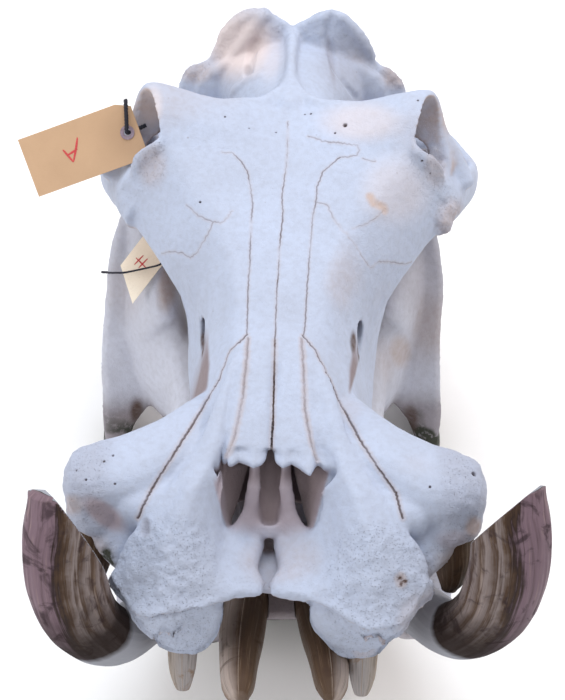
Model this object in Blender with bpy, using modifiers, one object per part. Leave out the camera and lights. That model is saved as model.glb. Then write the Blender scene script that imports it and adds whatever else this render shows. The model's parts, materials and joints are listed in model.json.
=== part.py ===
# Skull and lower jaw of an adult hippopotamus, closed, resting on a flat surface, with its two specimen tags.
# Lengths below are in millimetres and become metres as each mesh is made.
# x runs across the skull, s runs back from the front of the snout along +Y, and z rises from the floor.

import math

import bmesh
import bpy
from mathutils import Matrix, Vector

MM = 0.001
GAP = 0.4

# The frame's origin, as a point on the floor in the lengths below.
ORIGIN_X = -18.3
ORIGIN_S = 327.9

# How fine each bone is worked before its faces are thinned out.
BONE_VOXEL = 3.4
CRANIUM_FACES = 6700
MANDIBLE_FACES = 3700
# The exact Boolean loses these dense grids, so the bones are joined and cut by the solver for closed meshes.
BONE_SOLVER = "MANIFOLD"

# Driving sizes of the skull.
BITE_Z = 172.0
BITE_S = 180.0
BITE_SLOPE = 0.13
JAW_TWIST = math.radians(3.3)
JAW_PIVOT_S = 300.0
JAW_SHIFT_X = -1.6

# The large tag is a flat card with two cut corners at the end that carries its ringed hole.
TAG_LENGTH = 116.0
TAG_WIDTH = 59.0
TAG_THICK = 1.2
TAG_CORNER = (14.3, 6.4)
TAG_HOLE = 3.6
TAG_HOLE_IN = 12.0
TAG_RING = 7.0
TAG_RING_THICK = 0.8
TAG_RING_GAP = 0.3
TAG_PLACE = (-200.0, 462.8, 377.3)
TAG_TILT = (math.radians(-37.5), math.radians(-21.0))

BONE_COLOUR = (0.80, 0.80, 0.79, 1)
JAW_COLOUR = (0.70, 0.66, 0.64, 1)
TOOTH_COLOUR = (0.52, 0.40, 0.29, 1)
IVORY_COLOUR = (0.48, 0.38, 0.33, 1)
CARD_COLOUR = (0.83, 0.66, 0.42, 1)
RING_COLOUR = (0.40, 0.34, 0.40, 1)
STRING_COLOUR = (0.03, 0.03, 0.05, 1)


def bite_line(s):
    """Height of the plane where the cheek teeth meet, which rises towards the back."""
    return BITE_Z + BITE_SLOPE * (s - BITE_S)


# Scene and finish

def clear_scene():
    for obj in list(bpy.data.objects):
        bpy.data.objects.remove(obj, do_unlink=True)


def collection(name):
    made = bpy.data.collections.new(name)
    bpy.context.scene.collection.children.link(made)
    return made


def material(name, colour, roughness):
    made = bpy.data.materials.new(name)
    made.use_nodes = True
    shader = made.node_tree.nodes["Principled BSDF"]
    shader.inputs["Base Color"].default_value = colour
    shader.inputs["Roughness"].default_value = roughness
    shader.inputs["Metallic"].default_value = 0.0
    return made


# Reading smooth lines

def smooth_line(knots, count):
    """Points along a smooth line through knots, which are tuples of any equal length, evenly spread by knot."""
    rows = []
    last = len(knots) - 1
    for i in range(count):
        t = i * last / (count - 1)
        k = min(int(t), last - 1)
        f = t - k
        p0, p1 = knots[max(k - 1, 0)], knots[k]
        p2, p3 = knots[k + 1], knots[min(k + 2, last)]
        rows.append(tuple(
            0.5 * (2 * b + (c - a) * f + (2 * a - 5 * b + 4 * c - d) * f * f + (3 * b - a - 3 * c + d) * f ** 3)
            for a, b, c, d in zip(p0, p1, p2, p3)))
    return rows


def guide(*knots):
    """A smooth function through (position, value) knots, with no overshoot between them."""
    slopes = []
    steps = [(b[1] - a[1]) / (b[0] - a[0]) for a, b in zip(knots, knots[1:])]
    for i in range(len(knots)):
        near = steps[max(i - 1, 0):i + 1]
        flat = len(near) == 2 and near[0] * near[1] <= 0
        slopes.append(0.0 if flat else 2 * near[0] * near[-1] / (near[0] + near[-1]) if near[0] else 0.0)

    def read(t):
        t = min(max(t, knots[0][0]), knots[-1][0])
        k = next(i for i in range(len(knots) - 1) if t <= knots[i + 1][0])
        (a, va), (b, vb) = knots[k], knots[k + 1]
        h = b - a
        f = (t - a) / h
        return (va * (2 * f ** 3 - 3 * f * f + 1) + vb * (3 * f * f - 2 * f ** 3)
                + h * slopes[k] * (f ** 3 - 2 * f * f + f) + h * slopes[k + 1] * (f ** 3 - f * f))

    return read


# Skins through rings of points

def skin(name, rings, closed_path=False):
    """One closed mesh through rings with equal counts, with a fan over each end."""
    mesh = bpy.data.meshes.new(name)
    bm = bmesh.new()
    rows = [[bm.verts.new(Vector(p) * MM) for p in ring] for ring in rings]
    count = len(rows[0])
    pairs = list(zip(rows, rows[1:])) + ([(rows[-1], rows[0])] if closed_path else [])
    for low, high in pairs:
        for i in range(count):
            j = (i + 1) % count
            bm.faces.new((low[i], low[j], high[j], high[i]))
    if not closed_path:
        for row in (rows[0], rows[-1]):
            centre = bm.verts.new(sum((v.co for v in row), Vector()) / count)
            for i in range(count):
                bm.faces.new((row[i], row[(i + 1) % count], centre))
    bmesh.ops.recalc_face_normals(bm, faces=bm.faces)
    bm.to_mesh(mesh)
    bm.free()
    obj = bpy.data.objects.new(name, mesh)
    return obj


def mirror_sign(side, point):
    return Vector((side * point[0], point[1], point[2]))


def sweep(name, knots, side=1, steps=5, around=20, up=(0, 0, 1), power=2.0, dome=(0.6, 0.6), closed_path=False):
    """A tube of oval rings along knots of (x, s, z, half width, half height); dome rounds each end by that share."""
    if closed_path:
        knots = list(knots) + [knots[0]]
    rows = smooth_line(knots, (len(knots) - 1) * steps + 1)
    if closed_path:
        rows = rows[:-1]
    points = [mirror_sign(side, row) for row in rows]
    up = mirror_sign(side, up)
    rings = []
    frames = []
    for i, (point, row) in enumerate(zip(points, rows)):
        if closed_path:
            along = points[(i + 1) % len(points)] - points[i - 1]
        else:
            along = points[min(i + 1, len(points) - 1)] - points[max(i - 1, 0)]
        along.normalize()
        across = along.cross(up).normalized()
        lift = across.cross(along).normalized()
        frames.append((point, along, across, lift, row[3], row[4]))
    if not closed_path:
        frames = domed(frames, dome)
    for point, _, across, lift, wide, high in frames:
        ring = []
        for k in range(around):
            angle = 2 * math.pi * k / around
            c, n = math.cos(angle), math.sin(angle)
            ring.append(point + across * wide * math.copysign(abs(c) ** (2 / power), c)
                        + lift * high * math.copysign(abs(n) ** (2 / power), n))
        rings.append(ring)
    return skin(name, rings, closed_path)


def domed(frames, dome):
    """Adds shrinking rings past both ends, so that an end is rounded."""
    def cap(frame, direction, share):
        point, along, across, lift, wide, high = frame
        reach = min(wide, high) * share
        added = []
        for angle in (30, 60, 80):
            turn = math.radians(angle)
            centre = point + along * direction * reach * math.sin(turn)
            added.append((centre, along, across, lift, wide * math.cos(turn), high * math.cos(turn)))
        return added

    front = cap(frames[0], -1, dome[0]) if dome[0] else []
    back = cap(frames[-1], 1, dome[1]) if dome[1] else []
    return front[::-1] + frames + back


def blade(name, rim, root, side=1, steps=4, rim_half=4.0, root_half=10.0, bow=0.0):
    """A plate between a rim line and a root line, thin at the rim; bow bends it sideways between them."""
    count = (len(rim) - 1) * steps + 1
    rims = [mirror_sign(side, p) for p in smooth_line(rim, count)]
    roots = [mirror_sign(side, p) for p in smooth_line(root, count)]
    middles = [(a + b) / 2 for a, b in zip(rims, roots)]
    rings = []
    for i in range(count):
        along = (middles[min(i + 1, count - 1)] - middles[max(i - 1, 0)]).normalized()
        out = rims[i] - roots[i]
        normal = along.cross(out).normalized() * side
        reach = out.length
        out.normalize()
        ring = []
        for share in (0, 0.33, 0.66, 0.9):
            half = root_half + (rim_half - root_half) * share
            centre = roots[i] + out * reach * share + normal * bow * 4 * share * (1 - share)
            ring.append((centre, half))
        upper = [c + normal * h for c, h in ring]
        lower = [c - normal * h for c, h in reversed(ring)]
        rings.append([roots[i] - out * root_half * 0.6] + upper + [rims[i]] + lower)
    return skin(name, rings)


def ball(name, centre, radii, side=1, turn=(0, 0, 0)):
    """An ellipsoid; turn is in degrees about x, y and z."""
    mesh = bpy.data.meshes.new(name)
    bm = bmesh.new()
    bmesh.ops.create_uvsphere(bm, u_segments=20, v_segments=12, radius=1.0)
    bm.transform(Matrix.Diagonal((*(r * MM for r in radii), 1)))
    tilt = Matrix.Rotation(math.radians(turn[2] * side), 4, "Z")
    tilt = tilt @ Matrix.Rotation(math.radians(turn[1] * side), 4, "Y")
    bm.transform(tilt @ Matrix.Rotation(math.radians(turn[0]), 4, "X"))
    bm.transform(Matrix.Translation(mirror_sign(side, centre) * MM))
    bm.to_mesh(mesh)
    bm.free()
    return bpy.data.objects.new(name, mesh)


def both(make, name, *sizes, **options):
    """The same piece on the right and the left."""
    return [make(f"{name}_{tag}", *sizes, side=side, **options) for side, tag in ((1, "right"), (-1, "left"))]


# The face: one loft from the nostrils to the back of the brow

FACE_STATIONS = (118, 132, 150, 170, 200, 240, 280, 305, 325, 345, 365, 385, 405, 425, 440, 452, 466, 480, 494, 506)

ROOF_Z = guide((100, 305), (130, 315), (240, 344), (300, 356), (380, 371), (450, 387), (506, 398))
SHOULDER_X = guide((100, 54), (130, 52), (165, 50), (200, 46), (240, 42), (300, 48), (350, 62), (400, 92),
                   (430, 109), (446, 120), (466, 129), (480, 133), (494, 138), (506, 141))
SHOULDER_Z = guide((100, 300), (130, 310), (200, 328), (240, 336), (300, 349), (350, 363), (400, 382),
                   (430, 395), (446, 403), (466, 420), (480, 427), (494, 430), (506, 427))
WALL_X = guide((100, 74), (130, 80), (165, 78), (200, 70), (240, 67), (280, 67), (320, 76), (360, 100),
               (400, 122), (430, 139), (446, 147), (506, 150))
WALL_Z = guide((100, 268), (200, 292), (280, 305), (320, 317), (360, 335), (400, 352), (430, 366), (446, 373),
               (506, 372))
CHEEK_X = guide((100, 80), (130, 90), (165, 86), (200, 80), (240, 77), (280, 76), (310, 80), (340, 91),
                (370, 112), (400, 136), (420, 151), (446, 172), (506, 176))
CHEEK_Z = guide((100, 244), (200, 262), (280, 262), (310, 265), (340, 281), (370, 297), (400, 314),
                (420, 322), (446, 336), (506, 326))
UNDER_X = guide((100, 76), (200, 82), (280, 82), (340, 90), (370, 102), (400, 118), (430, 136), (455, 148), (506, 150))
UNDER_Z = guide((100, 250), (150, 240), (200, 234), (280, 240), (340, 262), (370, 276), (400, 291), (430, 301),
                (455, 308), (506, 314))
GUM_X = guide((100, 64), (200, 80), (280, 86), (360, 90), (430, 88), (470, 78), (506, 64))
GUM_Z = guide((100, 246), (130, 234), (160, 214), (192, 202), (280, 210), (360, 221), (430, 232), (455, 246),
              (480, 276), (506, 300))
PALATE_X = guide((100, 40), (200, 40), (360, 44), (430, 44), (506, 34))
PALATE_Z = guide((100, 248), (130, 240), (160, 226), (200, 216), (280, 224), (360, 234), (430, 244), (455, 256),
                 (480, 282), (506, 304))


def face_ring(s):
    """One cross-section of the face, from the roof's middle down the right side, and back up the left."""
    half = [(0.5 * SHOULDER_X(s), ROOF_Z(s) + 0.45 * (SHOULDER_Z(s) - ROOF_Z(s))), (SHOULDER_X(s), SHOULDER_Z(s)),
            (WALL_X(s), WALL_Z(s)), (CHEEK_X(s), CHEEK_Z(s)), (UNDER_X(s), UNDER_Z(s)), (GUM_X(s), GUM_Z(s)),
            (PALATE_X(s), PALATE_Z(s))]
    corners = ([(0, ROOF_Z(s))] + half + [(0, PALATE_Z(s) + 6)] + [(-x, z) for x, z in reversed(half)])
    loop = smooth_line([corners[-1]] + corners + [corners[0], corners[1]], (len(corners) + 2) * 4 + 1)
    loop = loop[4:4 + 4 * len(corners)]
    return [Vector((x, s, z)) for x, z in loop]


def face():
    return skin("face", [face_ring(s) for s in FACE_STATIONS])


# The premaxillae: one half loft on each side, from the biting edge up to the sides of the nasal bones

PREMAXILLA_STATIONS = (-3, 2, 7, 12, 18, 24, 29, 35, 43, 52, 60, 70, 80, 90, 97, 104, 112, 124, 140, 160, 185, 212, 238)

INNER_X = guide((-3, 78), (3, 71), (8, 64), (14, 55), (20, 44), (24, 36), (28, 9), (35, 6.5), (43, 6), (52, 9.5),
                (60, 12), (70, 10.5), (80, 8), (91, 6), (98, 28), (105, 43), (113, 53), (120, 52), (128, 44),
                (150, 39), (200, 31), (238, 26))
INNER_Z = guide((-3, 244), (8, 249), (27, 250), (90, 250), (104, 296), (113, 311), (150, 322), (200, 334), (238, 344))
RIDGE_X = guide((-3, 88), (8, 85), (25, 83), (45, 80), (65, 73), (92, 63), (113, 57), (150, 49), (200, 39), (238, 32))
RIDGE_Z = guide((-3, 246), (8, 255), (25, 270), (45, 286), (65, 298), (92, 309), (113, 316), (150, 327), (200, 339),
                (238, 347))
EDGE_X = guide((-3, 100), (5, 110), (15, 118), (27, 125), (35, 137), (42, 131), (54, 128), (66, 116), (75, 107),
               (92, 93), (117, 77), (135, 66), (170, 55), (200, 46), (238, 34))
EDGE_Z = guide((-3, 240), (5, 241), (15, 243), (35, 254), (54, 270), (66, 284), (75, 291), (92, 301), (117, 309),
               (135, 316), (170, 327), (200, 335), (238, 345))
KEEL_X = guide((-3, 88), (25, 86), (65, 76), (92, 66), (113, 58), (150, 50), (238, 30))
KEEL_Z = guide((-3, 236), (25, 226), (65, 232), (92, 238), (113, 262), (150, 296), (238, 330))


def premaxilla_ring(s, side):
    """Inner edge, hollow slope, rounded ridge, outer edge, and the underside back to the inner edge."""
    inner, ridge, edge = (INNER_X(s), INNER_Z(s)), (RIDGE_X(s), RIDGE_Z(s)), (EDGE_X(s), EDGE_Z(s))
    front = min(max((104 - s) / 14, 0), 1)
    slope = (0.5 * (inner[0] + ridge[0]), inner[1] + (0.52 - 0.24 * front) * (ridge[1] - inner[1]))
    shoulder = (0.45 * ridge[0] + 0.55 * edge[0], 0.6 * ridge[1] + 0.4 * edge[1])
    under = (edge[0] - 7, edge[1] - 8 - 12 * front)
    corners = [inner, slope, ridge, shoulder, edge, under, (KEEL_X(s), KEEL_Z(s)),
               (inner[0] + 3, inner[1] - 12 - 6 * front)]
    loop = smooth_line([corners[-1]] + corners + [corners[0], corners[1]], (len(corners) + 2) * 3 + 1)
    return [Vector((side * x, s, z)) for x, z in loop[3:3 + 3 * len(corners)]]


def premaxilla(name, side):
    return skin(name, [premaxilla_ring(s, side) for s in PREMAXILLA_STATIONS])


def snout_pieces():
    """The two wings that hold the upper canines, the premaxillae, and the free tips of the nasal bones."""
    made = both(sweep, "canine_wing", [
        (44, 181, 274, 46, 40), (88, 145, 280, 36, 38), (120, 125, 281, 37, 35), (146, 117, 281, 36, 34),
        (163, 116, 280, 32, 31)], power=2.5, dome=(0.2, 0.6))
    made += both(sweep, "canine_socket", [(146, 116, 278, 30, 32), (150, 102, 262, 28, 30), (153, 96, 251, 25, 27)],
                 up=(1, 0, 0), dome=(0.3, 0.15))
    made += both(sweep, "wing_web", [(82, 112, 279, 36, 24), (104, 106, 278, 36, 24), (124, 104, 276, 30, 24)],
                 power=2.5)
    made += both(premaxilla, "premaxilla")
    made += both(sweep, "incisor_socket", [(82, 50, 256, 34, 22), (80, 34, 238, 38, 24), (74, 24, 218, 36, 20),
                                           (75, 16, 191, 22, 13)], up=(0, 1, 0), dome=(0.3, 0.3))
    made += both(sweep, "block_corner", [(47, 25, 238, 14, 11), (55, 20, 222, 18, 12), (66, 17, 206, 20, 12)],
                 up=(0, 1, 0), dome=(0.3, 0.2))
    made += both(sweep, "socket_bridge", [(146, 112, 262, 24, 22), (132, 90, 249, 26, 24), (110, 73, 242, 26, 20)])
    made.append(sweep("snout_floor", [(-16, 70, 226, 24, 5), (16, 70, 226, 24, 5)], up=(0, 0, 1), power=3.0))
    made += both(sweep, "nasal_bone", [(19, 109, 309, 17, 4), (20, 150, 321, 19, 6), (18, 200, 333, 17, 8),
                                       (14, 240, 341, 13, 8)], power=3.5, dome=(0.0, 0.5))
    return made


def nose_pieces():
    """Inside the nostrils: a leaning plate on each side and the trough of the vomer between them."""
    made = both(sweep, "nose_plate", [(26, 80, 240, 16, 8), (22, 90, 251, 15, 6), (15, 103, 268, 10, 4),
                                       (13.5, 115, 292, 5.5, 3.5), (13, 124, 316, 4, 3)], up=(0, 1, 0), dome=(0.2, 0.2))
    made += both(sweep, "nose_corner", [(45, 88, 246, 10, 10), (50, 100, 262, 8.5, 10), (55, 112, 282, 6.5, 9),
                                        (59, 123, 302, 4, 7)], up=(0, 1, 0), dome=(0.3, 0.3))
    made += both(blade, "nose_wall", [(54, 124, 304), (47, 110, 282), (41, 98, 262), (37, 91, 250)],
                 [(20, 142, 284), (27, 124, 267), (33, 108, 252), (35, 98, 244)], rim_half=3, root_half=3)
    made.append(sweep("vomer", [(0, 91, 250, 13, 7), (0, 106, 265, 13, 9), (0, 150, 295, 12, 10)],
                      dome=(0.5, 0.2)))
    return made


def nose_cutters():
    return [sweep("vomer_trough", [(0, 97, 261, 8.5, 7), (0, 110, 277, 9.5, 9), (0, 146, 307, 9, 9)],
                  dome=(0.6, 0.3)),
            sweep("under_ledge", [(-34, 31, 229, 16, 15), (0, 31, 229, 16, 15), (34, 31, 229, 16, 15)], power=3.0,
                  dome=(0.2, 0.2))]


ORBIT = [(122, 446, 404), (126, 466, 420), (132, 490, 427), (139, 500, 419), (142, 497, 405), (146, 487, 388),
         (152, 470, 368), (150, 454, 362), (137, 448, 386)]
ORBIT_AXIS = Vector((0.72, -0.51, 0.47))


def funnel(name, loop, axis, stations, side=1):
    """A hollow's shape: copies of a loop moved along an axis by a distance and resized about their middle."""
    smooth = smooth_line([loop[-1]] + loop + [loop[0], loop[1]], (len(loop) + 2) * 3 + 1)[3:3 + 3 * len(loop)]
    points = [Vector(p) for p in smooth]
    middle = sum(points, Vector()) / len(points)
    rings = []
    for distance, size, shift in stations:
        centre = middle + axis * distance + Vector(shift)
        rings.append([mirror_sign(side, centre + (p - middle) * size) for p in points])
    return skin(name, rings)


def brow_pieces():
    """Rims of the eye sockets, the bars behind them, the cheek bones and the lines that run back to the crest."""
    made = both(sweep, "orbit_rim", [
        (121, 447, 401, 7, 6), (126, 467, 417, 6, 5), (132, 491, 425, 5, 5), (141, 502, 417, 5, 6),
        (146, 498, 402, 6, 6), (150, 489, 383, 7, 7), (156, 471, 360, 8, 8), (150, 452, 353, 7, 7),
        (138, 449, 380, 8, 7)], closed_path=True, up=(0.72, -0.51, 0.47), around=12)
    made += both(sweep, "tear_bump", [(121, 444, 401, 7, 6), (130, 444, 394, 10, 9), (141, 444, 381, 9, 9),
                                      (148, 444, 366, 7, 6)])
    made += both(sweep, "orbit_bar", [
        (172, 468, 338, 10, 16), (162, 483, 358, 8, 14), (150, 494, 382, 7, 10), (144, 500, 400, 6, 9),
        (139, 506, 413, 6, 9)], up=(1, 0, 0.2))
    made += both(sweep, "cheek_process", [(163, 480, 356, 8, 10), (156, 488, 376, 6, 7)], up=(1, 0, 0.2),
                 dome=(0.4, 0.9))
    made += both(sweep, "cheek_arch", [
        (148, 422, 326, 12, 16), (162, 450, 327, 10, 22), (176, 486, 316, 9, 24), (187, 520, 301, 9, 22),
        (189, 552, 289, 10, 18), (180, 582, 285, 11, 15), (162, 604, 290, 15, 13), (134, 612, 299, 20, 13)],
        dome=(0.4, 0.4))
    made += both(blade, "temple_line", [(0, 572, 402), (12, 540, 405), (31, 521, 405), (58, 514, 406), (82, 508, 411),
                                        (112, 505, 421), (136, 502, 428)],
                 [(0, 548, 370), (10, 520, 380), (29, 500, 384), (54, 494, 386), (78, 488, 390), (106, 484, 402),
                  (130, 482, 412)], rim_half=4, root_half=10)
    return made


def braincase_pieces():
    """The small braincase, its crests, the back of the skull, and the base with its joints."""
    made = [sweep("braincase", [
        (0, 470, 338, 64, 52), (0, 510, 342, 52, 52), (0, 555, 340, 54, 54), (0, 605, 336, 68, 54),
        (0, 640, 332, 84, 52)], around=28, dome=(0.2, 0.3))]
    made.append(sweep("middle_crest", [(0, 512, 391, 14, 14), (0, 541, 393, 10, 14), (0, 575, 389, 7, 15),
                                       (0, 615, 385, 7, 15), (0, 662, 380, 10, 16)], dome=(0.3, 0.2)))
    made += both(blade, "back_crest", [
        (0, 664, 396), (14, 664, 406), (30, 664, 415), (48, 664, 416), (65, 664, 404), (79, 663, 386), (87, 662, 365),
        (93, 660, 354), (108, 657, 348), (120, 654, 337), (126, 651, 318), (124, 648, 298)],
        [(0, 640, 350), (11, 640, 352), (22, 640, 354), (34, 640, 352), (44, 639, 346), (52, 638, 338),
         (58, 636, 328), (64, 633, 318), (70, 630, 310), (78, 627, 300), (84, 624, 290), (90, 622, 282)],
        rim_half=7, root_half=13, bow=-4)
    made.append(ball("occiput", (0, 642, 322), (108, 24, 56)))
    made += both(ball, "neck_joint", (36, 672, 282), (24, 24, 25), turn=(0, 12, 24))
    made += both(sweep, "neck_process", [(84, 646, 300, 16, 20), (86, 652, 268, 9, 15), (84, 656, 238, 5, 8)],
                 up=(0, 1, 0))
    made += both(sweep, "jaw_root", [(60, 598, 304, 34, 26), (110, 604, 304, 28, 17), (158, 604, 300, 22, 12)],
                 dome=(0.3, 0.3))
    made.append(sweep("skull_base", [(0, 440, 262, 30, 16), (0, 500, 284, 32, 24), (0, 570, 284, 30, 20),
                                     (0, 660, 274, 30, 14)], dome=(0.4, 0.3)))
    made += both(ball, "ear_bulb", (48, 600, 268), (17, 26, 20))
    made += both(blade, "wing_plate", [(33, 446, 232), (36, 472, 228), (36, 500, 234), (34, 530, 262)],
                 [(30, 446, 262), (33, 476, 272), (33, 508, 280), (30, 540, 286)], rim_half=3.5, root_half=7)
    return made


UPPER_TEETH = ((30, 20, 60), (33, 24, 62), (35, 30, 63), (43, 38, 63), (49, 43, 64), (52, 42, 65))
LOWER_TEETH = ((30, 16, 60), (33, 20, 62), (36, 24, 63), (43, 30, 63), (49, 34, 64), (56, 32, 65))
ROW_START = 194.0
TOOTH_GAP = 1.5


def cheek_teeth(name, sizes, upper):
    """A row of grinding teeth on each side, each a lobed column from inside the gum to the biting plane."""
    made = []
    s = ROW_START
    for number, (length, width, x) in enumerate(sizes):
        middle = s + length / 2
        bite = bite_line(middle) + (GAP if upper else -GAP)
        root = bite + (36 if upper else -36)
        lobes = 0.16 if number > 2 else 0.05
        for side, tag in ((1, "right"), (-1, "left")):
            rings = []
            for z, grow in ((root, 0.86), (bite + (root - bite) * 0.5, 1.0), (bite + (root - bite) * 0.12, 0.94),
                            (bite, 0.84)):
                ring = []
                for k in range(24):
                    angle = 2 * math.pi * k / 24
                    reach = 1 + lobes * (abs(math.sin(2 * angle)) - 0.5)
                    px = side * x + width / 2 * grow * reach * math.cos(angle)
                    ps = middle + length / 2 * grow * reach * math.sin(angle)
                    ring.append(Vector((px, ps, z + BITE_SLOPE * (ps - middle))))
                rings.append(ring)
            made.append(skin(f"{name}_{number + 1}_{tag}", rings))
        s += length + TOOTH_GAP
    return made


def cranium_cutters():
    """Nostril chamber, eye sockets, the way behind them, and smaller holes."""
    made = [sweep("nose_chamber", [(0, 100, 280, 46, 33), (0, 115, 275, 54, 38), (0, 150, 282, 45, 34),
                                   (0, 200, 292, 30, 22), (0, 240, 304, 18, 12)],
                  around=28, power=2.5, dome=(0.5, 0.5))]
    made += both(funnel, "eye_socket", ORBIT, ORBIT_AXIS, [
        (60, 1.5, (0, 0, 0)), (12, 1.06, (0, 0, 0)), (0, 0.97, (0, 0, 0)), (-12, 0.88, (0, -3, 0)),
        (-24, 0.74, (-2, -9, -3)), (-36, 0.54, (-4, -17, -6))])
    made += both(sweep, "behind_eye", [(112, 456, 366, 18, 14), (114, 480, 364, 28, 17), (116, 510, 358, 32, 20),
                                       (116, 560, 346, 34, 26)], around=20, dome=(0.4, 0.2))
    made += both(sweep, "face_canal", [(86, 284, 282, 9, 12), (74, 298, 288, 9, 13), (58, 324, 300, 6, 9)])
    made.append(sweep("throat", [(0, 540, 262, 24, 12), (0, 500, 256, 22, 14), (0, 462, 252, 20, 12),
                                 (0, 440, 252, 12, 6)]))
    made.append(sweep("spine_hole", [(0, 720, 300, 22, 20), (0, 680, 302, 19, 18), (0, 640, 310, 16, 15)]))
    made += both(sweep, "jaw_hollow", [(104, 606, 279, 16, 8), (150, 604, 275, 22, 11), (200, 600, 268, 24, 13)],
                 dome=(0.5, 0.5))
    made += both(sweep, "jaw_window", [(120, 478, 226, 54, 28), (122, 494, 290, 40, 27), (124, 506, 338, 32, 25),
                                       (127, 512, 366, 24, 21), (130, 514, 384, 16, 16)],
                 up=(1, 0, 0), dome=(0.2, 0.5))
    return made


# The lower jaw, in its own straight frame

CHIN_STATIONS = (84, 92, 102, 114, 128, 145, 165, 188, 212, 236, 258)
CHIN_WIDTH = guide((84, 96), (96, 126), (114, 134), (140, 118), (170, 94), (212, 76), (258, 60))
CHIN_TOP = guide((84, 144), (100, 150), (150, 150), (200, 146), (258, 140))
CHIN_FOOT = guide((84, 136), (92, 130), (114, 98), (140, 54), (165, 22), (188, 4), (205, -4), (222, -4), (240, 8),
                  (258, 36))


def chin_ring(s, around=36, power=3.2):
    """A flat, wide oval across the chin."""
    wide, middle = CHIN_WIDTH(s), (CHIN_TOP(s) + CHIN_FOOT(s)) / 2
    high = CHIN_TOP(s) - middle
    ring = []
    for k in range(around):
        angle = 2 * math.pi * k / around
        c, n = math.cos(angle), math.sin(angle)
        ring.append(Vector((wide * math.copysign(abs(c) ** (2 / power), c), s,
                            middle + high * math.copysign(abs(n) ** (2 / power), n))))
    return ring


def jaw_pieces():
    made = [skin("chin", [chin_ring(s) for s in CHIN_STATIONS])]
    made += both(sweep, "tusk_bulge", [(80, 196, 92, 30, 46), (92, 162, 108, 38, 44), (104, 126, 128, 42, 43),
                                       (119, 99, 150, 40, 44)], dome=(0.4, 0.15))
    made += both(sweep, "jaw_body", [
        (58, 130, 96, 40, 62), (70, 180, 98, 32, 62), (76, 230, 104, 26, 56), (80, 300, 112, 25, 54),
        (86, 360, 122, 27, 58), (96, 412, 132, 30, 66)], power=2.6, dome=(0.3, 0.3))
    made += both(sweep, "jaw_branch", [
        (98, 392, 121, 27, 64), (119, 430, 134, 30, 86), (131, 470, 158, 33, 100), (146, 520, 164, 20, 110),
        (152, 570, 160, 15, 106), (156, 612, 168, 12, 84), (157, 636, 176, 7, 44)], around=24)
    made += both(blade, "jaw_rim", [
        (164, 516, 258), (175, 478, 236), (181, 442, 178), (184, 412, 108), (185, 398, 56), (181, 395, 14),
        (181, 432, -2), (181, 480, 2), (179, 536, 26), (176, 592, 68), (170, 628, 122), (165, 636, 176),
        (157, 628, 226), (149, 617, 256)],
        [(135, 512, 240), (128, 474, 210), (124, 440, 160), (126, 424, 112), (140, 420, 82), (150, 432, 66),
         (150, 452, 62), (152, 492, 68), (154, 532, 82), (155, 575, 102), (156, 600, 134), (156, 606, 176),
         (154, 600, 218), (149, 596, 246)], rim_half=5.5, root_half=15)
    made += both(sweep, "jaw_hook", [(150, 456, 84, 17, 20), (162, 430, 58, 17, 20), (171, 412, 36, 15, 18),
                                     (176, 404, 12, 12, 15)], up=(0, 1, 0.5), dome=(0.4, 0.9))
    for side, lean in ((1, 8), (-1, -6)):
        made.append(sweep("jaw_blade", [(122, 474, 226, 40, 13), (122 + lean * 0.3, 494, 290, 28, 10),
                                        (126 + lean * 0.7, 508, 338, 19, 8), (130 + lean, 516, 366, 12, 6)],
                          side=side, up=(1, 0, 0), dome=(0.2, 0.8)))
    made += both(sweep, "joint_neck", [(152, 586, 190, 34, 13), (150, 600, 240, 24, 13), (148, 606, 262, 16, 15)],
                 up=(1, 0, 0))
    made += both(ball, "jaw_joint", (146, 607, 268), (33, 14, 13), turn=(0, -6, 0))
    return made


JAW_LEAN = 5.0
LEAN_FROM_S, LEAN_OVER_S = 330.0, 90.0
LEAN_FROM_Z, LEAN_OVER_Z = 215.0, 70.0


def bend_jaw(mesh):
    """The lower back of the jaw leans a little to the left of its joints."""
    for vert in mesh.vertices:
        s, z = vert.co.y / MM, vert.co.z / MM
        back = min(max((s - LEAN_FROM_S) / LEAN_OVER_S, 0), 1)
        low = min(max((LEAN_FROM_Z - z) / LEAN_OVER_Z, 0), 1)
        vert.co.x -= JAW_LEAN * MM * back * back * (3 - 2 * back) * low * low * (3 - 2 * low)


def jaw_cutters():
    """The trough between the two halves, behind the chin."""
    return [sweep("tongue_trough", [(0, 84, 172, 60, 20), (0, 120, 168, 48, 24), (0, 180, 156, 40, 34),
                                    (0, 240, 140, 42, 60)], around=24, dome=(0.3, 0.3))]


def floor_block(name):
    """A block below the floor level, which leaves true flats where the jaw stands."""
    mesh = bpy.data.meshes.new(name)
    bm = bmesh.new()
    bmesh.ops.create_cube(bm, size=1.0)
    bm.transform(Matrix.Translation(Vector((0, 0.3, -0.05))) @ Matrix.Diagonal((1.0, 1.2, 0.1, 1)))
    bm.to_mesh(mesh)
    bm.free()
    return bpy.data.objects.new(name, mesh)


# Big teeth, each a tapered curved column

TUSK = [(92, 150, 126, 27, 22), (106, 116, 136, 29, 23), (124, 80, 150, 30, 24), (149, 42, 174, 31, 24),
        (171, 25, 222, 32, 24), (181, 28, 268, 33, 24), (182, 40, 306, 33, 23), (178, 52, 332, 32, 22),
        (177, 59, 349, 30, 20)]
TUSK_FACETS = {1: (((160, 34, 325), (-0.60, 0.70, 0.39)), ((194, 53, 349), (-0.20, 0.92, 0.34))),
               -1: (((166, 33, 330), (-0.75, 0.62, 0.23)), ((194, 56, 354), (-0.20, 0.92, 0.34)))}
UPPER_CANINE = [(146, 122, 288, 18, 18), (151, 102, 258, 19, 20), (155, 89, 232, 18, 18), (156, 83, 212, 13, 13),
                (155, 80, 200, 8, 8)]
UPPER_INCISOR = [(74, 43, 232, 15, 18), (75.5, 29, 205, 14, 16.5), (77, 18, 184, 12, 13), (77.5, 9, 163, 9.5, 11),
                 (77.5, 4, 147, 6, 7)]
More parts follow.
